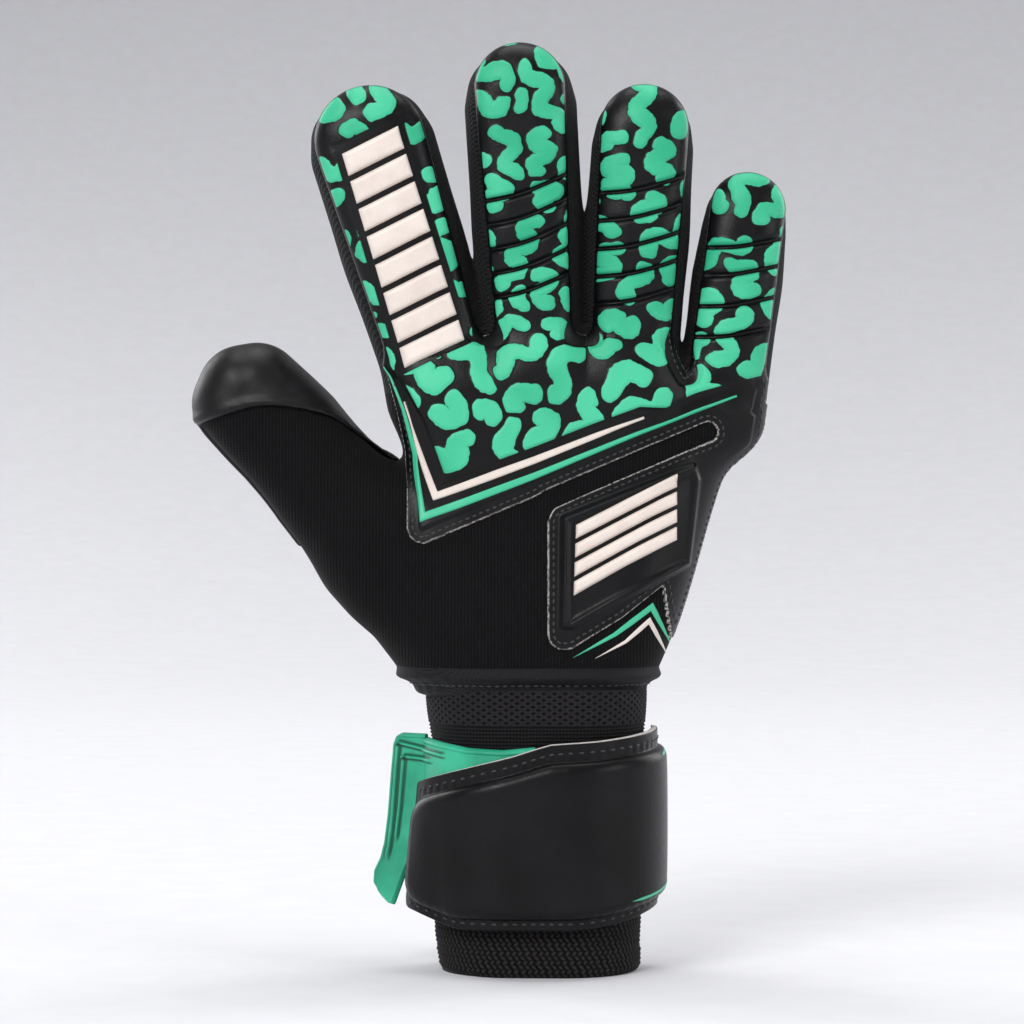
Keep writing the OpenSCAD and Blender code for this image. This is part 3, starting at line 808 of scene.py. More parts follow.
on_finger = np.clip(np.stack([step(to_local(i, GX, GZ)[1], -6, 8) * step(strip_inside(
    i, GX, GZ, PANEL_W0[i] + 2, PANEL_W1[i] + 2, LENGTH[i] + 1), -2, 1) for i in range(4)]).max(0), 0, 1)
inner_area = -polygon_distance(GX, GZ, INK_AREA)
low_patch = step(polygon_distance(GX, GZ, PLATEAU), 30, 8) * step(GZ - patch_top(GX), 2, -2)
rim = 0.95 + 0.75 * step(D, 3.4, 4.4) + 1.25 * step(inner_area, -1.1, 1.2)
puffy = 0.7 + 2.15 * dome(D - 0.3, 3.6)
frame_d = -polygon_distance(GX, GZ, PLATEAU)
emblem = 0.95 + 0.95 * step(frame_d, -1.4, 0.3) + 0.85 * bell(frame_d - 0.9, 0.95)
relief = rim * (1 - on_finger) + puffy * on_finger
relief = relief * (1 - low_patch) + emblem * low_patch
relief = relief + 0.22 * np.sin(GX * 0.13 + 1.1) * np.sin(GZ * 0.11) * step(D, 4, 9)


def lay_squiggles(rng):
    """Thick strokes that wander until they come near another, then swell until even gaps are left between them.
    Gives back how far inside a stroke each point of the grid is."""
    laid, strokes = np.zeros((0, 2)), []
    for turn in range(9000):
        p = rng.uniform((-62, 136), (76, 270))
        size = 1 - 0.24 * float(step(p[1], 172, 186))
        gap, wish = 5.5 * size, rng.uniform(16, 38) * size
        if len(laid) and ((laid - p) ** 2).sum(1).min() < gap ** 2:
            continue
        heading, phase = rng.uniform(0, 6.28, 2)
        swing, turns = rng.uniform(0.8, 1.7), rng.uniform(13, 21) * size
        walk = [p]
        while len(walk) < wish:
            a = heading + swing * math.sin(2 * math.pi * len(walk) / turns + phase)
            q = walk[-1] + (math.cos(a), math.sin(a))
            if len(laid) and ((laid - q) ** 2).sum(1).min() < gap ** 2:
                break
            if len(walk) > 9 and ((np.array(walk[:-9]) - q) ** 2).sum(1).min() < (gap * 0.95) ** 2:
                break
            walk.append(q)
        if len(walk) >= (13, 9, 6, 4)[min(turn // 2200, 3)]:
            strokes.append((np.array(walk), size, phase))
            laid = np.concatenate([laid, walk])
    near, second, swell = np.full(GX.shape, 9.0), np.full(GX.shape, 9.0), np.full(GX.shape, 2.0)
    for walk, size, phase in strokes:
        (i0, j0), (i1, j1) = (np.clip(((q - (GX[0, 0], GZ[0, 0])) / FINE).astype(int), 0, GX.shape)
                              for q in (walk.min(0) - 9, walk.max(0) + 9))
        w = np.s_[i0:i1, j0:j1]
        d = np.hypot(GX[w][..., None] - walk[:, 0], GZ[w][..., None] - walk[:, 1])
        at, d = d.argmin(-1), d.min(-1)
        second[w] = np.where(d < near[w], np.minimum(second[w], near[w]), np.minimum(second[w], d))
        swell[w] = np.where(d < near[w], size * (2.95 + 0.35 * np.sin(0.6 * at + phase)), swell[w])
        near[w] = np.minimum(near[w], d)
    return smin(swell - near, (second - near) / 2 - 0.55, 0.9)


squiggle = lay_squiggles(np.random.default_rng(SEED))
squiggle = squiggle + 0.16 * np.sin(GX * 1.1 + 2 * np.sin(GZ * 0.5)) * np.sin(GZ * 1.2 + 2 * np.sin(GX * 0.6))
allowed = np.minimum(D - 1.5 - 2.2 * (1 - on_finger), inner_area - 0.4)
groove = np.zeros(GX.shape)
for i, lines in ((1, (13, 20, 27, 34, 41)), (2, (12, 20, 28, 36, 44)), (3, (13, 22, 31, 39))):
    u, v = to_local(i, GX, GZ)
    fade = step(PANEL_W1[i] - np.abs(u), 0.6, 3.2) * step(v, 6, 10)
    for at in lines:
        q = v - at - 0.30 * u - 0.012 * u * u
        width = 0.75 + 0.3 * step(u, -8, 8)
        groove = np.maximum(groove, bell(q, width) * fade)
        allowed = np.where(fade > 0.1, np.minimum(allowed, np.abs(q) - 0.7), allowed)
u0, v0 = to_local(0, GX, GZ)
letters = np.maximum(np.abs(u0) - 10.2, np.abs(v0 - 0.16 * u0 - 31.9) - 35.0)
allowed = np.minimum(allowed, letters)
ink = np.minimum(squiggle, allowed) * 0.45
ink = np.where((low_patch > 0.05) | (GZ < 137 + 0.4 * GX), -1, ink)
raised = relief - 1.35 * groove + 0.42 * step(ink, -0.12, 0.35) - 0.2 * step(letters, 0.8, -0.4) * (on_finger > 0.2)
height = -1.1 + (raised + 1.1) * step(D, -0.42, 0.3)
SKIN = P + NRM * height[..., None]
cut = step(D, 0.52, 0.3) * step(height, 0.15, 0.4) * (1 - on_finger)


def read_grid(values, x, z):
    """Bilinear reading of a grid laid over the back."""
    a = np.clip((x - GX[0, 0]) / FINE, 0, GX.shape[0] - 1.001)
    b = np.clip((z - GZ[0, 0]) / FINE, 0, GX.shape[1] - 1.001)
    i, j = a.astype(int), b.astype(int)
    fa, fb = a - i, b - j
    return ((values[i, j] * (1 - fa) + values[i + 1, j] * fa) * (1 - fb)
            + (values[i, j + 1] * (1 - fa) + values[i + 1, j + 1] * fa) * fb)


def smooth_normals(points):
    a = np.gradient(points, axis=0)
    b = np.gradient(points, axis=1)
    return unit(np.cross(b, a))


good = (D > -0.75) & (miss < 0.25)
cells = good[:-1, :-1] & good[1:, :-1] & good[1:, 1:] & good[:-1, 1:]
SN = smooth_normals(SKIN)
SN = np.where((SN * NRM).sum(-1, keepdims=True) < 0, -SN, SN)
quads = grid_quads(*GX.shape)[cells.ravel()]
mid = P.reshape(-1, 3)[quads].mean(1)
skin_of = owner(mid)
lower = (mid[:, 2] < patch_top(mid[:, 0])) & (mid[:, 0] > 0) & (skin_of == -1)
skin_args = dict(ink=ink, cut=cut)
knuckle = place(make("knuckle_panel", SKIN, quads[(skin_of == -1) & ~lower], PANEL, "panel_skin", SN, **skin_args),
                "hand", "knuckle_panel")
patch = place(make("emblem_patch", SKIN, quads[lower], PANEL, "panel_skin", SN, **skin_args),
              "hand", "emblem_patch")
for i, name in enumerate(FINGERS):
    piece = place(make(name + "_back_panel", SKIN, quads[skin_of == i], PANEL, "panel_green", SN, **skin_args),
                  name, name + "_back_panel")


# ---------------------------------------------------------------- raised prints and stitches
def raise_grid(x, z, edge_distance, lift, soft=0.9):
    """Points of a print on the skin; it is rounded over its edges and its border dips into the skin."""
    p, n, _ = onto_back(x.ravel(), z.ravel())
    base = read_grid(relief * (D > 0.3), x, z).ravel()
    d = edge_distance.ravel()
    h = base - 0.35 + (lift + 0.35) * dome(d, soft)
    return (p + n * h[:, None]).reshape(x.shape + (3,))


def bar(corners, lift, spacing=0.4):
    """A raised four-sided bar; its corners run round it, in the plane of the back."""
    c = np.array(corners, float)
    w, h = np.linalg.norm(c[1] - c[0]), np.linalg.norm(c[3] - c[0])
    m, n = int(w / spacing) + 2, int(h / spacing) + 2
    s, t = np.meshgrid(edge_rows(m, 0.09), edge_rows(n, 0.09), indexing="ij")
    x, z = [(c[0, a] * (1 - s) + c[1, a] * s) * (1 - t) + (c[3, a] * (1 - s) + c[2, a] * s) * t for a in (0, 1)]
    d = np.minimum(np.minimum(s, 1 - s) * w, np.minimum(t, 1 - t) * h)
    return raise_grid(x, z, d, lift, 1.5)


def ribbon(path, widths, lift, spacing=0.35):
    """A raised line of changing width along a path in the plane of the back, with mitred corners."""
    path = np.array(path, float)
    length = np.concatenate([[0], np.cumsum(np.linalg.norm(np.diff(path, axis=0), axis=1))])
    at = np.linspace(0, length[-1], int(length[-1] / spacing))
    at = np.sort(np.concatenate([at, length[1:-1]]))
    x, z = np.interp(at, length, path[:, 0]), np.interp(at, length, path[:, 1])
    width = np.interp(at, np.linspace(0, length[-1], len(widths)), widths)
    side = []
    for j in range(len(path) - 1):
        d = unit(path[j + 1] - path[j])
        side.append((-d[1], d[0]))
    side = np.array(side)
    corner = [side[0]] + [unit(side[j] + side[j + 1]) / max(0.35, np.linalg.norm(side[j] + side[j + 1]) / 2)
                          for j in range(len(side) - 1)] + [side[-1]]
    corner = np.array(corner)
    nx, nz = np.interp(at, length, corner[:, 0]), np.interp(at, length, corner[:, 1])
    r = np.linspace(-1, 1, 9)
    half = width[:, None] / 2
    gx, gz = x[:, None] + nx[:, None] * half * r, z[:, None] + nz[:, None] * half * r
    d = half * (1 - np.abs(r))
    d = np.minimum(d, np.minimum(at - at[0], at[-1] - at)[:, None] + 0.02)
    return raise_grid(gx, gz, d, lift, 0.6)


def join(name, grids, material, slot):
    points, quads, start = [], [], 0
    for g in grids:
        points.append(g.reshape(-1, 3))
        q = grid_quads(*g.shape[:2], start)
        a, b, c = g[0, 0], g[-1, 0], g[0, -1]
        if np.cross(b - a, c - a)[1] > 0:
            q = q[:, ::-1]
        quads.append(q)
        start += len(points[-1])
    return make(name, np.concatenate(points), np.concatenate(quads), material, slot)


bars = []
for kk in range(8):
    low = -1.4 + 8.35 * kk
    quad = [(-8.6, low - 1.5), (8.6, low + 1.5), (8.6, low + 8.3), (-8.6, low + 5.3)]
    bars.append([to_world(0, *c) for c in quad])
place(join("index_bars", [bar(c, 1.25) for c in bars], WHITE, "print_white"), "index",
      "index_bars", "index_base_bars")
marks = [[(10.0 + 0.2 * n, 109.4 + 5.4 * n), (38.8 + 0.2 * n, 125.7 + 5.0 * n), (38.9 + 0.2 * n, 129.6 + 5.0 * n),
          (10.1 + 0.2 * n, 113.6 + 5.4 * n)] for n in range(4)]
place(join("emblem_bars", [bar(c, 1.4) for c in marks], WHITE, "print_white"), "hand", "emblem_bars")
for name, path, widths, lift, material, slot, *nodes in (
        ("chevron_white", WHITE_LINE, (0.5, 1.5, 2.4, 2.6, 2.3, 1.9, 0.9), 0.55, WHITE, "print_white",
         "chevron_white"),
        ("chevron_green", GREEN_LINE, (0.5, 1.2, 2.3, 2.6, 2.4, 2.0, 1.6, 1.2, 0.8), 0.5, GREEN, "print_green",
         "chevron_green"),
        ("lower_print_green", [(9.6, 91.8), (22.0, 98.6), (32.7, 106.4), (38.6, 95.6)],
         (0.3, 1.2, 2.0, 2.0, 0.5), 0.22, GREEN, "print_green"),
        ("lower_print_white", [(16.0, 91.6), (25.0, 96.4), (32.0, 102.4), (37.8, 92.0)],
         (0.3, 1.0, 1.7, 1.6, 0.4), 0.22, WHITE, "print_white")):
    place(join(name, [ribbon(path, widths, lift)], material, slot), "hand", *nodes)


def follow(start, level, pitch, limit=400, sign=1):
    """Walks along a line of equal depth inside the skin's outline."""
    p = np.array(start, float)
    out = []
    for _ in range(limit):
        for _ in range(4):
            e = 0.3
            d = read_grid(D, p[0], p[1])
            g = np.array([read_grid(D, p[0] + e, p[1]) - read_grid(D, p[0] - e, p[1]),
                          read_grid(D, p[0], p[1] + e) - read_grid(D, p[0], p[1] - e)]) / (2 * e)
            p = p - g * (d - level) / max(g @ g, 0.2)
        if abs(read_grid(D, p[0], p[1]) - level) > 0.4 or read_grid(miss, p[0], p[1]) > 0.3:
            break
        out.append(p.copy())
        if len(out) > 12 and np.hypot(*(out[0] - p)) < pitch * 0.8:
            break
        t = np.array([-g[1], g[0]]) * sign
        p = p + t / max(np.linalg.norm(t), 1e-6) * pitch
    return np.array(out)


def sew(name, points, direction, normals, body_name, size=(1.35, 0.55, 0.32)):
    """One raised stitch at each point, along its direction."""
    t = unit(direction - normals * (direction * normals).sum(-1, keepdims=True))
    b = np.cross(normals, t)
    a = np.linspace(-1, 1, 6)
    ring = np.linspace(0, 2 * math.pi, 7)[:-1]
    r = np.sqrt(np.clip(1 - a ** 2, 0.02, 1))
    verts, quads = [], []
    for p, tt, bb, nn in zip(points, t, b, normals):
        g = (p + tt * (a * size[0] / 2)[:, None, None] + bb * (r[:, None] * np.cos(ring) * size[1] / 2)[..., None]
             + nn * (r[:, None] * np.sin(ring) * size[2])[..., None])
        start = len(verts) * g.shape[0] * g.shape[1]
        i, j = np.meshgrid(np.arange(5), np.arange(6), indexing="ij")
        k = (j + 1) % 6
        quads.append(start + np.stack([i * 6 + j, i * 6 + k, (i + 1) * 6 + k, (i + 1) * 6 + j], -1).reshape(-1, 4))
        verts.append(g.reshape(-1, 3))
    place(make(name, np.concatenate(verts), np.concatenate(quads), THREAD, "welt_fabric"), body_name)


def upright(path):
    """A path in the plane of the back as points in space."""
    return np.stack([path[:, 0], 0 * path[:, 0], path[:, 1]], -1)


seams = [follow((-36.2, 150.0), 1.75, 2.1, 300, -1), follow((-36.2, 150.0), 1.75, 2.1, 11)]
path = np.concatenate([seams[1][::-1][:-1], seams[0]])
path = path[owner(upright(path)) == -1]
pts, nrm, _ = onto_back(path[:, 0], path[:, 1])
pts = pts + nrm * (read_grid(relief, path[:, 0], path[:, 1]) - 0.02)[:, None]
sew("panel_stitches", pts, upright(np.gradient(path, axis=0)), nrm, "hand")


# ---------------------------------------------------------------- wrist, cuff and strap
def around(s, off=0.0):
    """Point and outward direction on the cuff's outline; s runs from mid-back towards the little finger."""
    a, r = CUFF_W - CUFF_D, CUFF_D
    sign, s1 = np.sign(s), np.abs(s)
    t = np.clip((s1 - a) / r, 0, math.pi)
    flat = np.minimum(s1, a) - np.maximum(s1 - a - math.pi * r, 0)
    n = np.stack([sign * np.sin(t), -np.cos(t)], -1)
    p = np.stack([sign * flat, 0 * s1], -1) + n * (r + np.asarray(off))[..., None]
    return p, n


ROUND = 4 * (CUFF_W - CUFF_D) + 2 * math.pi * CUFF_D


def shell(s, z, off):
    """Points of a surface round the wrist."""
    p = around(s, off)[0]
    return np.stack([p[..., 0], p[..., 1], z + 0 * s], -1)


def ring_slab(name, z, off, thick, material, slot, spacing, **floats):
    """A closed band round the wrist, its outside raised by off."""
    s = np.linspace(-ROUND / 2, ROUND / 2, int(ROUND / spacing), endpoint=False)[::-1]
    S, ZZ = np.meshgrid(s, z, indexing="ij")
    o = off(S, ZZ)
    extra = {k: f(S, ZZ) for k, f in floats.items()}
    return slab(name, shell(S, ZZ, o), shell(S, ZZ, 0 * o - thick), material, slot, True, **extra)


def weave_loops(S, ZZ):
    """Chunky knit: rows of slanted loops, each row leaning the other way."""
    row = np.floor(ZZ / 1.3)
    lean = np.where(row % 2 == 0, 1, -1)
    phase = S / 1.9 * 2 * math.pi + lean * (ZZ / 1.3 - row - 0.5) * 2.4 + row * 2.1 + 0.5 * np.sin(S * 0.7 + row)
    across = np.abs(np.sin(math.pi * ZZ / 1.3))
    return (0.5 + 0.5 * np.cos(phase)) * (0.35 + 0.65 * across)


def band_loops(S, ZZ):
    """Elastic: ribbed rows at its foot and a diamond net above them."""
    low = 0.5 + 0.5 * np.cos((ZZ - 62) / 1.05 * 2 * math.pi)
    low = low * (0.65 + 0.35 * np.cos(S / 0.95 * 2 * math.pi))
    a, b = np.cos((S * 0.62 + ZZ) / 0.95 * math.pi), np.cos((S * 0.62 - ZZ) / 0.95 * math.pi)
    return np.where(ZZ < 72.5, low, np.clip(0.34 + 0.5 * np.maximum(a, b) * 1.1 - 0.3 * a * b, 0, 1))


low_rows = np.arange(0.0, 23.0, 0.31)
high_rows = np.arange(23.0, 63.1, 1.4)


def cuff_off(S, ZZ):
    """Height of the cuff's knit: loops, broad waves, the hem's edge and the taper on the thumb side."""
    return (0.7 * weave_loops(S, ZZ) * step(30 - ZZ, 0, 6) + 0.6 * np.sin(S * 0.09 + 1) * step(20 - ZZ, 0, 18)
            + 0.35 * step(7.0 - ZZ, 0, 0.6) - 1.6 * step(-S, 12, 34) * step(12 - ZZ, 0, 12)
            - 1.1 * step(1.6 - ZZ, 0, 1.6) - 0.3)


# The loop heights also go to the shader, which paints shade into the hollows between the loops.
place(ring_slab("cuff_knit", np.concatenate([low_rows, high_rows]), cuff_off, 2.0, KNIT, "cuff_knit", 0.43,
                loop=weave_loops), "hand", "cuff_tube", "cuff_hem", "cuff_seam")


def band_off(S, ZZ):
    grow = step(ZZ, 61, 81)
    return 0.3 + 0.45 * band_loops(S, ZZ) + 1.7 * grow + 0.5 * np.sin(S * 0.11) * grow


# The band's loop heights also go to the shader, which paints shade into their hollows.
place(ring_slab("wrist_band", np.arange(61.4, 82.6, 0.25), band_off, 2.2, BAND, "band_knit", 0.32, loop=band_loops),
      "hand", "wrist_band")

# folded welt round the foot of the neoprene
WELT_STEPS, WELT_ROW = 460, 0.3        # steps round the welt, and the spacing of its rows
WELT_VALLEY = 83.9                    # height of the stitched valley between its two rolls
angle = np.linspace(0, 2 * math.pi, WELT_STEPS, endpoint=False)
rows = np.arange(79.6, 90.2, WELT_ROW)
A, R = np.meshgrid(angle, rows, indexing="ij")
centre = np.array([-4.0, 0.0])
ray = np.stack([-np.cos(A), -np.sin(A), 0 * A], -1)
start = np.stack([centre[0] - ray[..., 0] * 32, centre[1] - ray[..., 1] * 32, np.maximum(R, 80.9)], -1)
start[..., 0] = np.clip(start[..., 0] * 1.45, -78, 70)
ray = unit(np.stack([centre[0] - start[..., 0], centre[1] - start[..., 1], 0 * A], -1))
wp, wn, _ = settle(start, ray, 40)
wp[..., 2] = R
wn[..., 2] *= 0.3
wn = unit(wn)
fold = (1.7 * bell(R - 81.6, 1.3) + 1.9 * bell(R - 86.2, 1.6) - 0.15
        + 0.18 * np.sin(A * 23 + 2 * np.sin(A * 5)) * bell(R - WELT_VALLEY, 2))
fold = np.where(R > 89.0, -0.6, fold) - 0.5 * step(80.4 - R, 0, 0.9)
outer, inside = wp + wn * fold[..., None], wp - wn * 1.6
place(slab("wrist_welt", outer[::-1], inside[::-1], WELT, "welt_fabric", True), "hand", "wrist_welt")
pick = np.arange(0, WELT_STEPS, 5)
row = int(round((WELT_VALLEY - rows[0]) / WELT_ROW))
heading = np.roll(outer[:, row], -1, 0) - outer[:, row]
sew("welt_stitches", outer[pick, row] + wn[pick, row] * 0.06, heading[pick], wn[pick, row], "hand", (1.5, 0.5, 0.3))

# strap
S0, S1 = -38.5, 44.4                  # free end and hinge end, round the wrist
PAD_END = S1 + 60                     # far past the hinge, so the plateau runs right up to it
OFF = 3.25                            # how far the strap's inside stands off the cuff's outline
STITCH = 2.6                          # pitch of the strap's stitches
STITCH_SIZE = (1.5, 0.55, 0.35)
TOP_S = [-38.5, -36.5, -20.0, -6.0, -1.0, 3.5, 16.0, 30.0, 44.4]
TOP_Z = [54.0, 55.6, 60.2, 64.4, 66.0, 67.3, 68.2, 69.8, 71.2]


def strap_top(s):
    return np.interp(s, TOP_S, TOP_Z)


def strap_low_edge(s):
    return 14.0 + 4.6 * step(-s, 20, 38.5) + 5.2 * step(s, 8, 42)


def strap_flare(s, z):
    return 4.2 * step(-s, 24, 38.5) * (1 - 0.75 * np.clip((z - 22) / 30, 0, 1))


def strap_heights(S, ZZ):
    """Distance from the strap's edge, and its height: a flange, a padded plateau, buckles and puckers."""
    d_top, d_low = (strap_top(S) - ZZ) * 0.97, ZZ - strap_low_edge(S)
    d_end = S - S0
    d = smin(smin(d_top, d_low, 2.0), d_end, 2.0)
    plate = smin(smin(d_top - 5.2, d_low - 3.2, 6.0), np.minimum(d_end - 1.8, PAD_END - S), 6.0)
    pad = 2.7 * dome(plate, 3.4)
    buckle = 0.35 * np.sin(S * 0.16 + 0.6) * np.cos((ZZ - 44) * 0.055) * step(plate, 1, 8)
    buckle = buckle + 0.09 * np.sin(S * 2 * math.pi / STITCH) * bell(d - 3.6, 1.2)
    return d, 1.75 * dome(d, 0.5, 0.02) + pad + buckle


m, n = 280, 172
S = np.repeat((S0 + (S1 - S0) * np.linspace(0, 1, m))[:, None], n, 1)
ZZ = strap_low_edge(S) + (strap_top(S) - strap_low_edge(S)) * edge_rows(n)
d, h = strap_heights(S, ZZ)
flap = slab("strap_flap", shell(S, ZZ, OFF + h + strap_flare(S, ZZ)), shell(S, ZZ, OFF + strap_flare(S, ZZ)),
            STRAP, "strap_skin", cut=step(d, 0.34, 0.12) * step(ZZ, 40, 50))
place(flap, "flap", "strap_flap", "strap_padding")


def outward(s):
    """The direction away from the wrist."""
    n = around(s)[1]
    return np.concatenate([n, 0 * n[..., :1]], -1)


def strap_points(s, z, lift=0.0):
    """Points on the strap's face, and their directions outward."""
    return shell(s, z, OFF + strap_heights(s, z)[1] + strap_flare(s, z) + lift), outward(s)


s = np.arange(S0 + 3.2, S1 - 0.6, STITCH)
for name, zz in (("strap_stitches_top", strap_top(s) - 2.9), ("strap_stitches_low", strap_low_edge(s) + 2.1)):
    p, n = strap_points(s, zz)
    sew(name, p + n * 0.02, np.gradient(p, axis=0), n, "flap", STITCH_SIZE)


def stripe(name, s, z, width, material):
    """A printed line on the strap."""
    r = np.linspace(-0.5, 0.5, 4)
    wide = width * np.minimum(1, np.linspace(0, 6, len(s)) + 0.1)
    SS, ZS = np.repeat(s[:, None], 4, 1), z[:, None] + wide[:, None] * r
    p, _ = strap_points(SS, ZS, 0.09)
    place(make(name, p, grid_quads(*SS.shape)[:, ::-1], material, "print_green"), "flap")


t = np.linspace(0, 1, 50)
stripe("strap_line_low", 23.2 + 20.6 * t, 22.2 + 3.2 * t + 1.2 * t * t, 0.8, GREEN)
stripe("strap_line_top", 35.8 + 8.2 * t, 63.2 + 1.7 * t, 0.8, GREEN)

# the strap's half on the palm side
ANCHOR_END = ROUND - 44.5             # its end by the thumb, round the wrist from the hinge
m, n = 240, 120
s = np.linspace(S1 + 0.5, ANCHOR_END, m)
s = np.where(s > ROUND / 2, s - ROUND, s)
S = np.repeat(s[:, None], n, 1)
run = np.linspace(0, 1, m)[:, None]
top = 69.5 + (55.0 - 69.5) * run
low = 20.4 + 0 * run
ZZ = low + (top - low) * edge_rows(n)
d = np.minimum(top - ZZ, ZZ - low)
end = np.minimum(run, 1 - run) * (ANCHOR_END - S1)
plate = smin(d - 4.6, end + 3.0, 5.0)
h = 1.7 * dome(np.minimum(d, end + 0.3), 0.5, 0.02) + 1.5 * dome(plate, 3)
off = 0.5 + 2.7 * step(run, 0.16, 0.0)
place(slab("strap_anchor", shell(S, ZZ, off + h), shell(S, ZZ, off), STRAP, "strap_skin",
           cut=step(d, 0.34, 0.12) * (ZZ > 45)), "hand", "strap_anchor")
j = np.arange(6, m - 4, 5)
for name, zz in (("anchor_stitches_top", (top - 2.8)[:, 0]), ("anchor_stitches_low", low[:, 0] + 2.6)):
    p = shell(s[j], zz[j], off[j, 0] + 1.72)
    sew(name, p, np.gradient(p, axis=0), outward(s[j]), "hand", STITCH_SIZE)


def fastener(name, s0, s1, z0, z1, off, thick, material, slot, body_name, nub, *nodes):
    """A rectangle of hook or loop tape with a nubby face."""
    m, n = int((s1 - s0) / 0.5), int((z1 - z0) / 0.5)
    S, ZZ = np.meshgrid(np.linspace(s0, s1, m), np.linspace(z0, z1, n), indexing="ij")
    nubs = nub * (np.random.default_rng(SEED + 3).random(S.shape) - 0.5)
    front, back = (nubs, 0 * nubs) if nub > 0 else (0 * nubs, nubs)
    place(slab(name, shell(S, ZZ, off + thick + front), shell(S, ZZ, off + back), material, slot),
          body_name, *nodes)


fastener("loop_pad", -39.5, 1.5, 21.5, 52.0, 0.75, 0.9, LOOP, "loop", "hand", 0.4, "loop_pad")
fastener("hook_pad", -37.0, -10.0, 23.5, 50.0, 2.05, 0.85, HOOK, "hook", "strap", -0.3, "hook_pad")


# ---------------------------------------------------------------- rubber pull
def ridge(d, width, soft=0.3):
    return step(np.abs(d), width + soft, width - soft)


def flank(d):
    """The two sloping sides of a ridge, which catch the least light; the tab's colour is darkened there as painted
    shade.
    """
    return ridge(d, 1.05, 0.3) * (1 - ridge(d, 0.4, 0.25))


def rib_lines(x, z):
    """Height above the two ribs that cross the tab's arm and run on over the pull."""
    return z - (64.9 + (x + 34) * -0.19), z - (61.8 + (x + 34) * -0.06)


def ribbed(marks):
    """Height of the ribs, and the painted shade on their flanks; a mark is a distance and where it shows."""
    return (sum(ridge(q, width) * shown for q, width, shown in marks),
            sum(flank(q) * shown for q, width, shown in marks))


m, n = 150, 90
s = np.linspace(-39.6, -1.0, m)
S = np.repeat(s[:, None], n, 1)
x_of = shell(s, 0 * s, 2.0 + 0 * s)[:, 0]
arm_top = np.interp(x_of, [-34, -28, -20, -10, -1], [68.4, 67.3, 66.0, 65.6, 66.4])
arm_low = strap_top(s) - 4.0
ZZ = arm_low[:, None] + (arm_top - arm_low)[:, None] * edge_rows(n)
d = np.minimum(np.minimum(arm_top[:, None] - ZZ, ZZ - arm_low[:, None]), (-S - 1.0) + 0.02)
body_h = 1.5 * dome(d, 0.7, 0.02)
XX = np.repeat(x_of[:, None], n, 1)
upper, under = rib_lines(XX, ZZ)
# The flank values darken the rubber's colour as painted shade beside each rib.
ridges, hollow = ribbed(((upper, 0.55, step(-XX, 25.5, 27)), (under, 0.55, step(-XX, 29, 30.5))))
ridges = ridges + 0.5 * ridge(arm_top[:, None] - ZZ - 1.0, 0.5)
o = 1.55 + strap_flare(S, ZZ) * 0.35
place(slab("tab_base", shell(S, ZZ, o + body_h + ridges * (d > 0.5)), shell(S, ZZ, o), RUBBER, "tab_rubber",
           hollow=hollow), "strap", "tab_base")

m, n = 90, 260
PULL_LOW, PULL_HIGH = 19.6, 49.4       # foot of the pull, and its height
z = PULL_LOW + PULL_HIGH * edge_rows(n)
out_x = np.interp(z, [19.6, 22, 24, 27, 31, 36, 45, 58, 66, 69.0],
                  [-45.0, -47.0, -48.2, -48.0, -46.2, -45.0, -43.9, -42.9, -42.2, -41.0])
in_x, in_y = -32.5, -3.0
t = edge_rows(m)[:, None]
PX = in_x + (out_x - in_x)[None, :] * t
PY = in_y + (0.6 * (in_x - out_x) + 2.0)[None, :] * t ** 1.1
top_z = 69.0 - 0.9 * step(t, 0.72, 1.0) ** 2
foot = in_x + (-48.2 - in_x) * t
low_z = 18.3 + 2.2 * np.maximum(foot + 44.5, 0) + 0.9 * np.maximum(-45 - foot, 0)
PZ = low_z + (top_z - low_z) * ((z - PULL_LOW) / PULL_HIGH)[None, :]
pull_p = np.stack([PX, PY, PZ], -1)
pull_n = -unit(np.cross(np.gradient(pull_p, axis=0), np.gradient(pull_p, axis=1)))
pull_n = np.where(pull_n[..., 1:2] > 0, -pull_n, pull_n)
dist = np.minimum((1 - t) * (in_x - out_x)[None, :] * 1.2, np.minimum(top_z - PZ, PZ - low_z))
body_h = dome(dist, 0.8, 0.02)
from_out = PX - out_x[None, :]
taper = step(PZ, 30, 34)
upper, under = rib_lines(PX, PZ)
ridges, hollow = ribbed(((from_out - 2.1, 0.5, taper * step(66.4 - PZ, 0, 0.6)),
                         (from_out - 4.2, 0.5, step(PZ, 36, 39) * step(62.6 - PZ, 0, 0.6)),
                         (upper, 0.5, step(from_out, 1.6, 2.1)), (under, 0.5, step(from_out, 3.7, 4.2))))
ridges = ridges + 0.35 * ridge(dist - 0.9, 0.4)
hollow = np.clip(hollow, 0, 1)
outer = pull_p + pull_n * (body_h + ridges * (dist > 0.4))[..., None]
inside = pull_p - pull_n * (body_h * 0.9)[..., None]
place(slab("pull_tab", outer[::-1], inside[::-1], RUBBER, "tab_rubber", hollow=hollow[::-1]), "pull", "pull_tab")


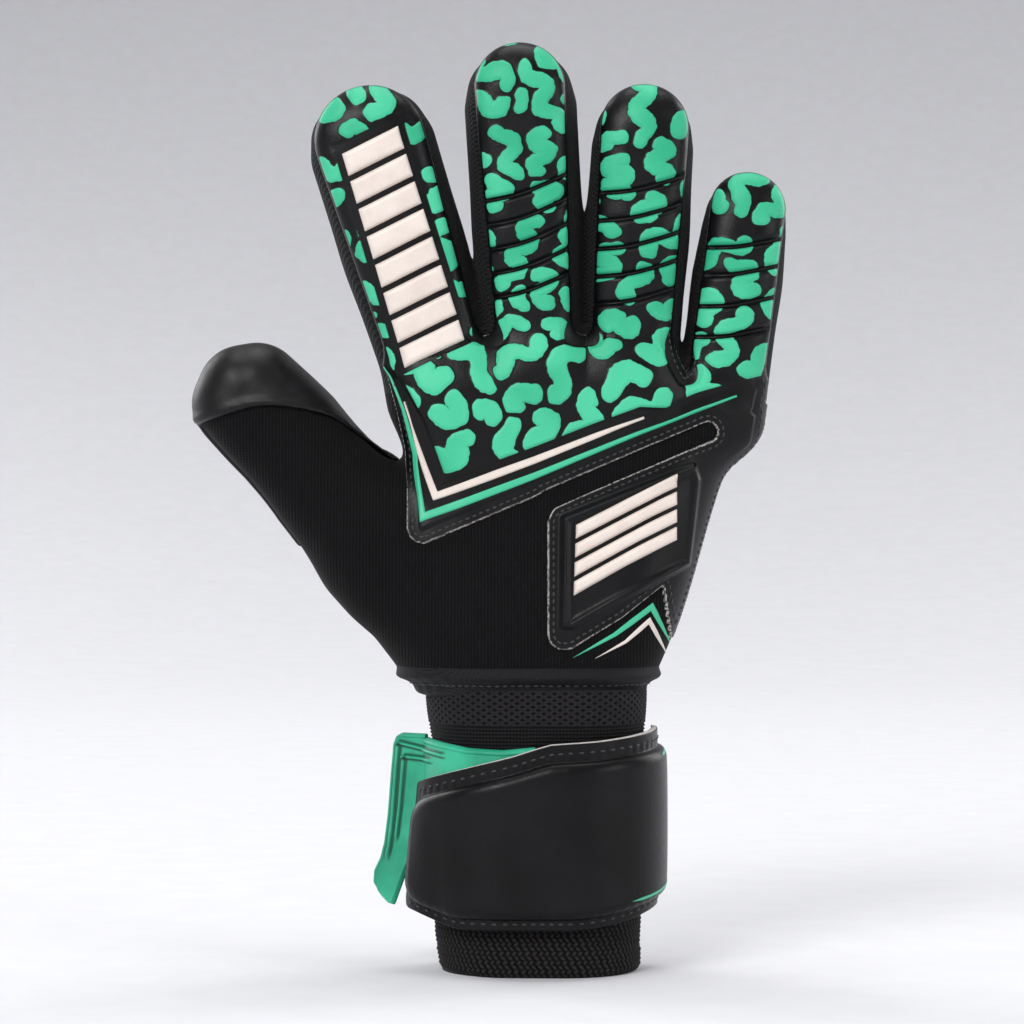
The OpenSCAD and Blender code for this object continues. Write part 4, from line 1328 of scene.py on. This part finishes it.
# ---------------------------------------------------------------- studio
def studio():
    turns, floor_z = 128, cad_bounds[0][2]
    profile = [(0.001, 0.0), (0.7, 0.0), (1.5, 0.0)] + [(1.5 + 3.4 * math.sin(a), 3.4 - 3.4 * math.cos(a))
                                                       for a in np.linspace(0.06, math.pi / 2, 22)] + [(4.9, 4.4)]
    pts = np.array([[(r * math.cos(b), r * math.sin(b), h + floor_z) for r, h in profile]
                    for b in np.linspace(0, 2 * math.pi, turns + 1)]) / MM
    s = Shade("studio_floor", srgb(214, 214, 217), 0.9)
    s.set("Base Color", s.blotch(0.05, 3, 0.3, 0.7, srgb(213, 213, 216), srgb(216, 216, 219)))
    floor = make("studio_floor", pts, grid_quads(turns + 1, len(profile)), s.material, "neoprene")
    del floor["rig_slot"]


def lamp(name, place_at, aim, size, power):
    light = bpy.data.lights.new(name, "AREA")
    light.shape, light.size, light.size_y = "RECTANGLE", size[0], size[1]
    light.energy = power
    o = bpy.data.objects.new(name, light)
    o.location = place_at
    o.rotation_euler = (Vector(aim) - Vector(place_at)).to_track_quat("-Z", "Y").to_euler()
    bpy.context.scene.collection.objects.link(o)


studio()
for name, place_at, height, size, power in (("key", (-1.3, -2.3, 1.9), 0.14, (1.3, 1.3), 62),
                                            ("fill", (2.4, -1.6, 0.9), 0.12, (1.2, 1.8), 22),
                                            ("top", (0.1, 0.3, 2.9), 0.15, (2.2, 2.0), 46),
                                            ("back_left", (-2.1, 1.9, 1.3), 0.15, (1.4, 1.8), 34),
                                            ("back_right", (2.2, 1.7, 1.2), 0.15, (1.2, 1.8), 28)):
    lamp(name, place_at, (0, 0, height), size, power)
world = bpy.data.worlds.new("studio")
world.use_nodes = True
background = world.node_tree.nodes["Background"]
background.inputs[0].default_value = (0.86, 0.87, 0.9, 1)
background.inputs[1].default_value = 0.37
bpy.context.scene.world = world
bpy.context.scene.view_settings.view_transform = "Standard"

camera = bpy.data.cameras.new("camera")
camera.lens, camera.sensor_width = 120, 36
camera_object = bpy.data.objects.new("camera", camera)
camera_object.location = (-0.0076, -1.0, 0.1337)
camera_object.rotation_euler = (math.radians(90), 0, 0)
bpy.context.scene.collection.objects.link(camera_object)
bpy.context.scene.camera = camera_object
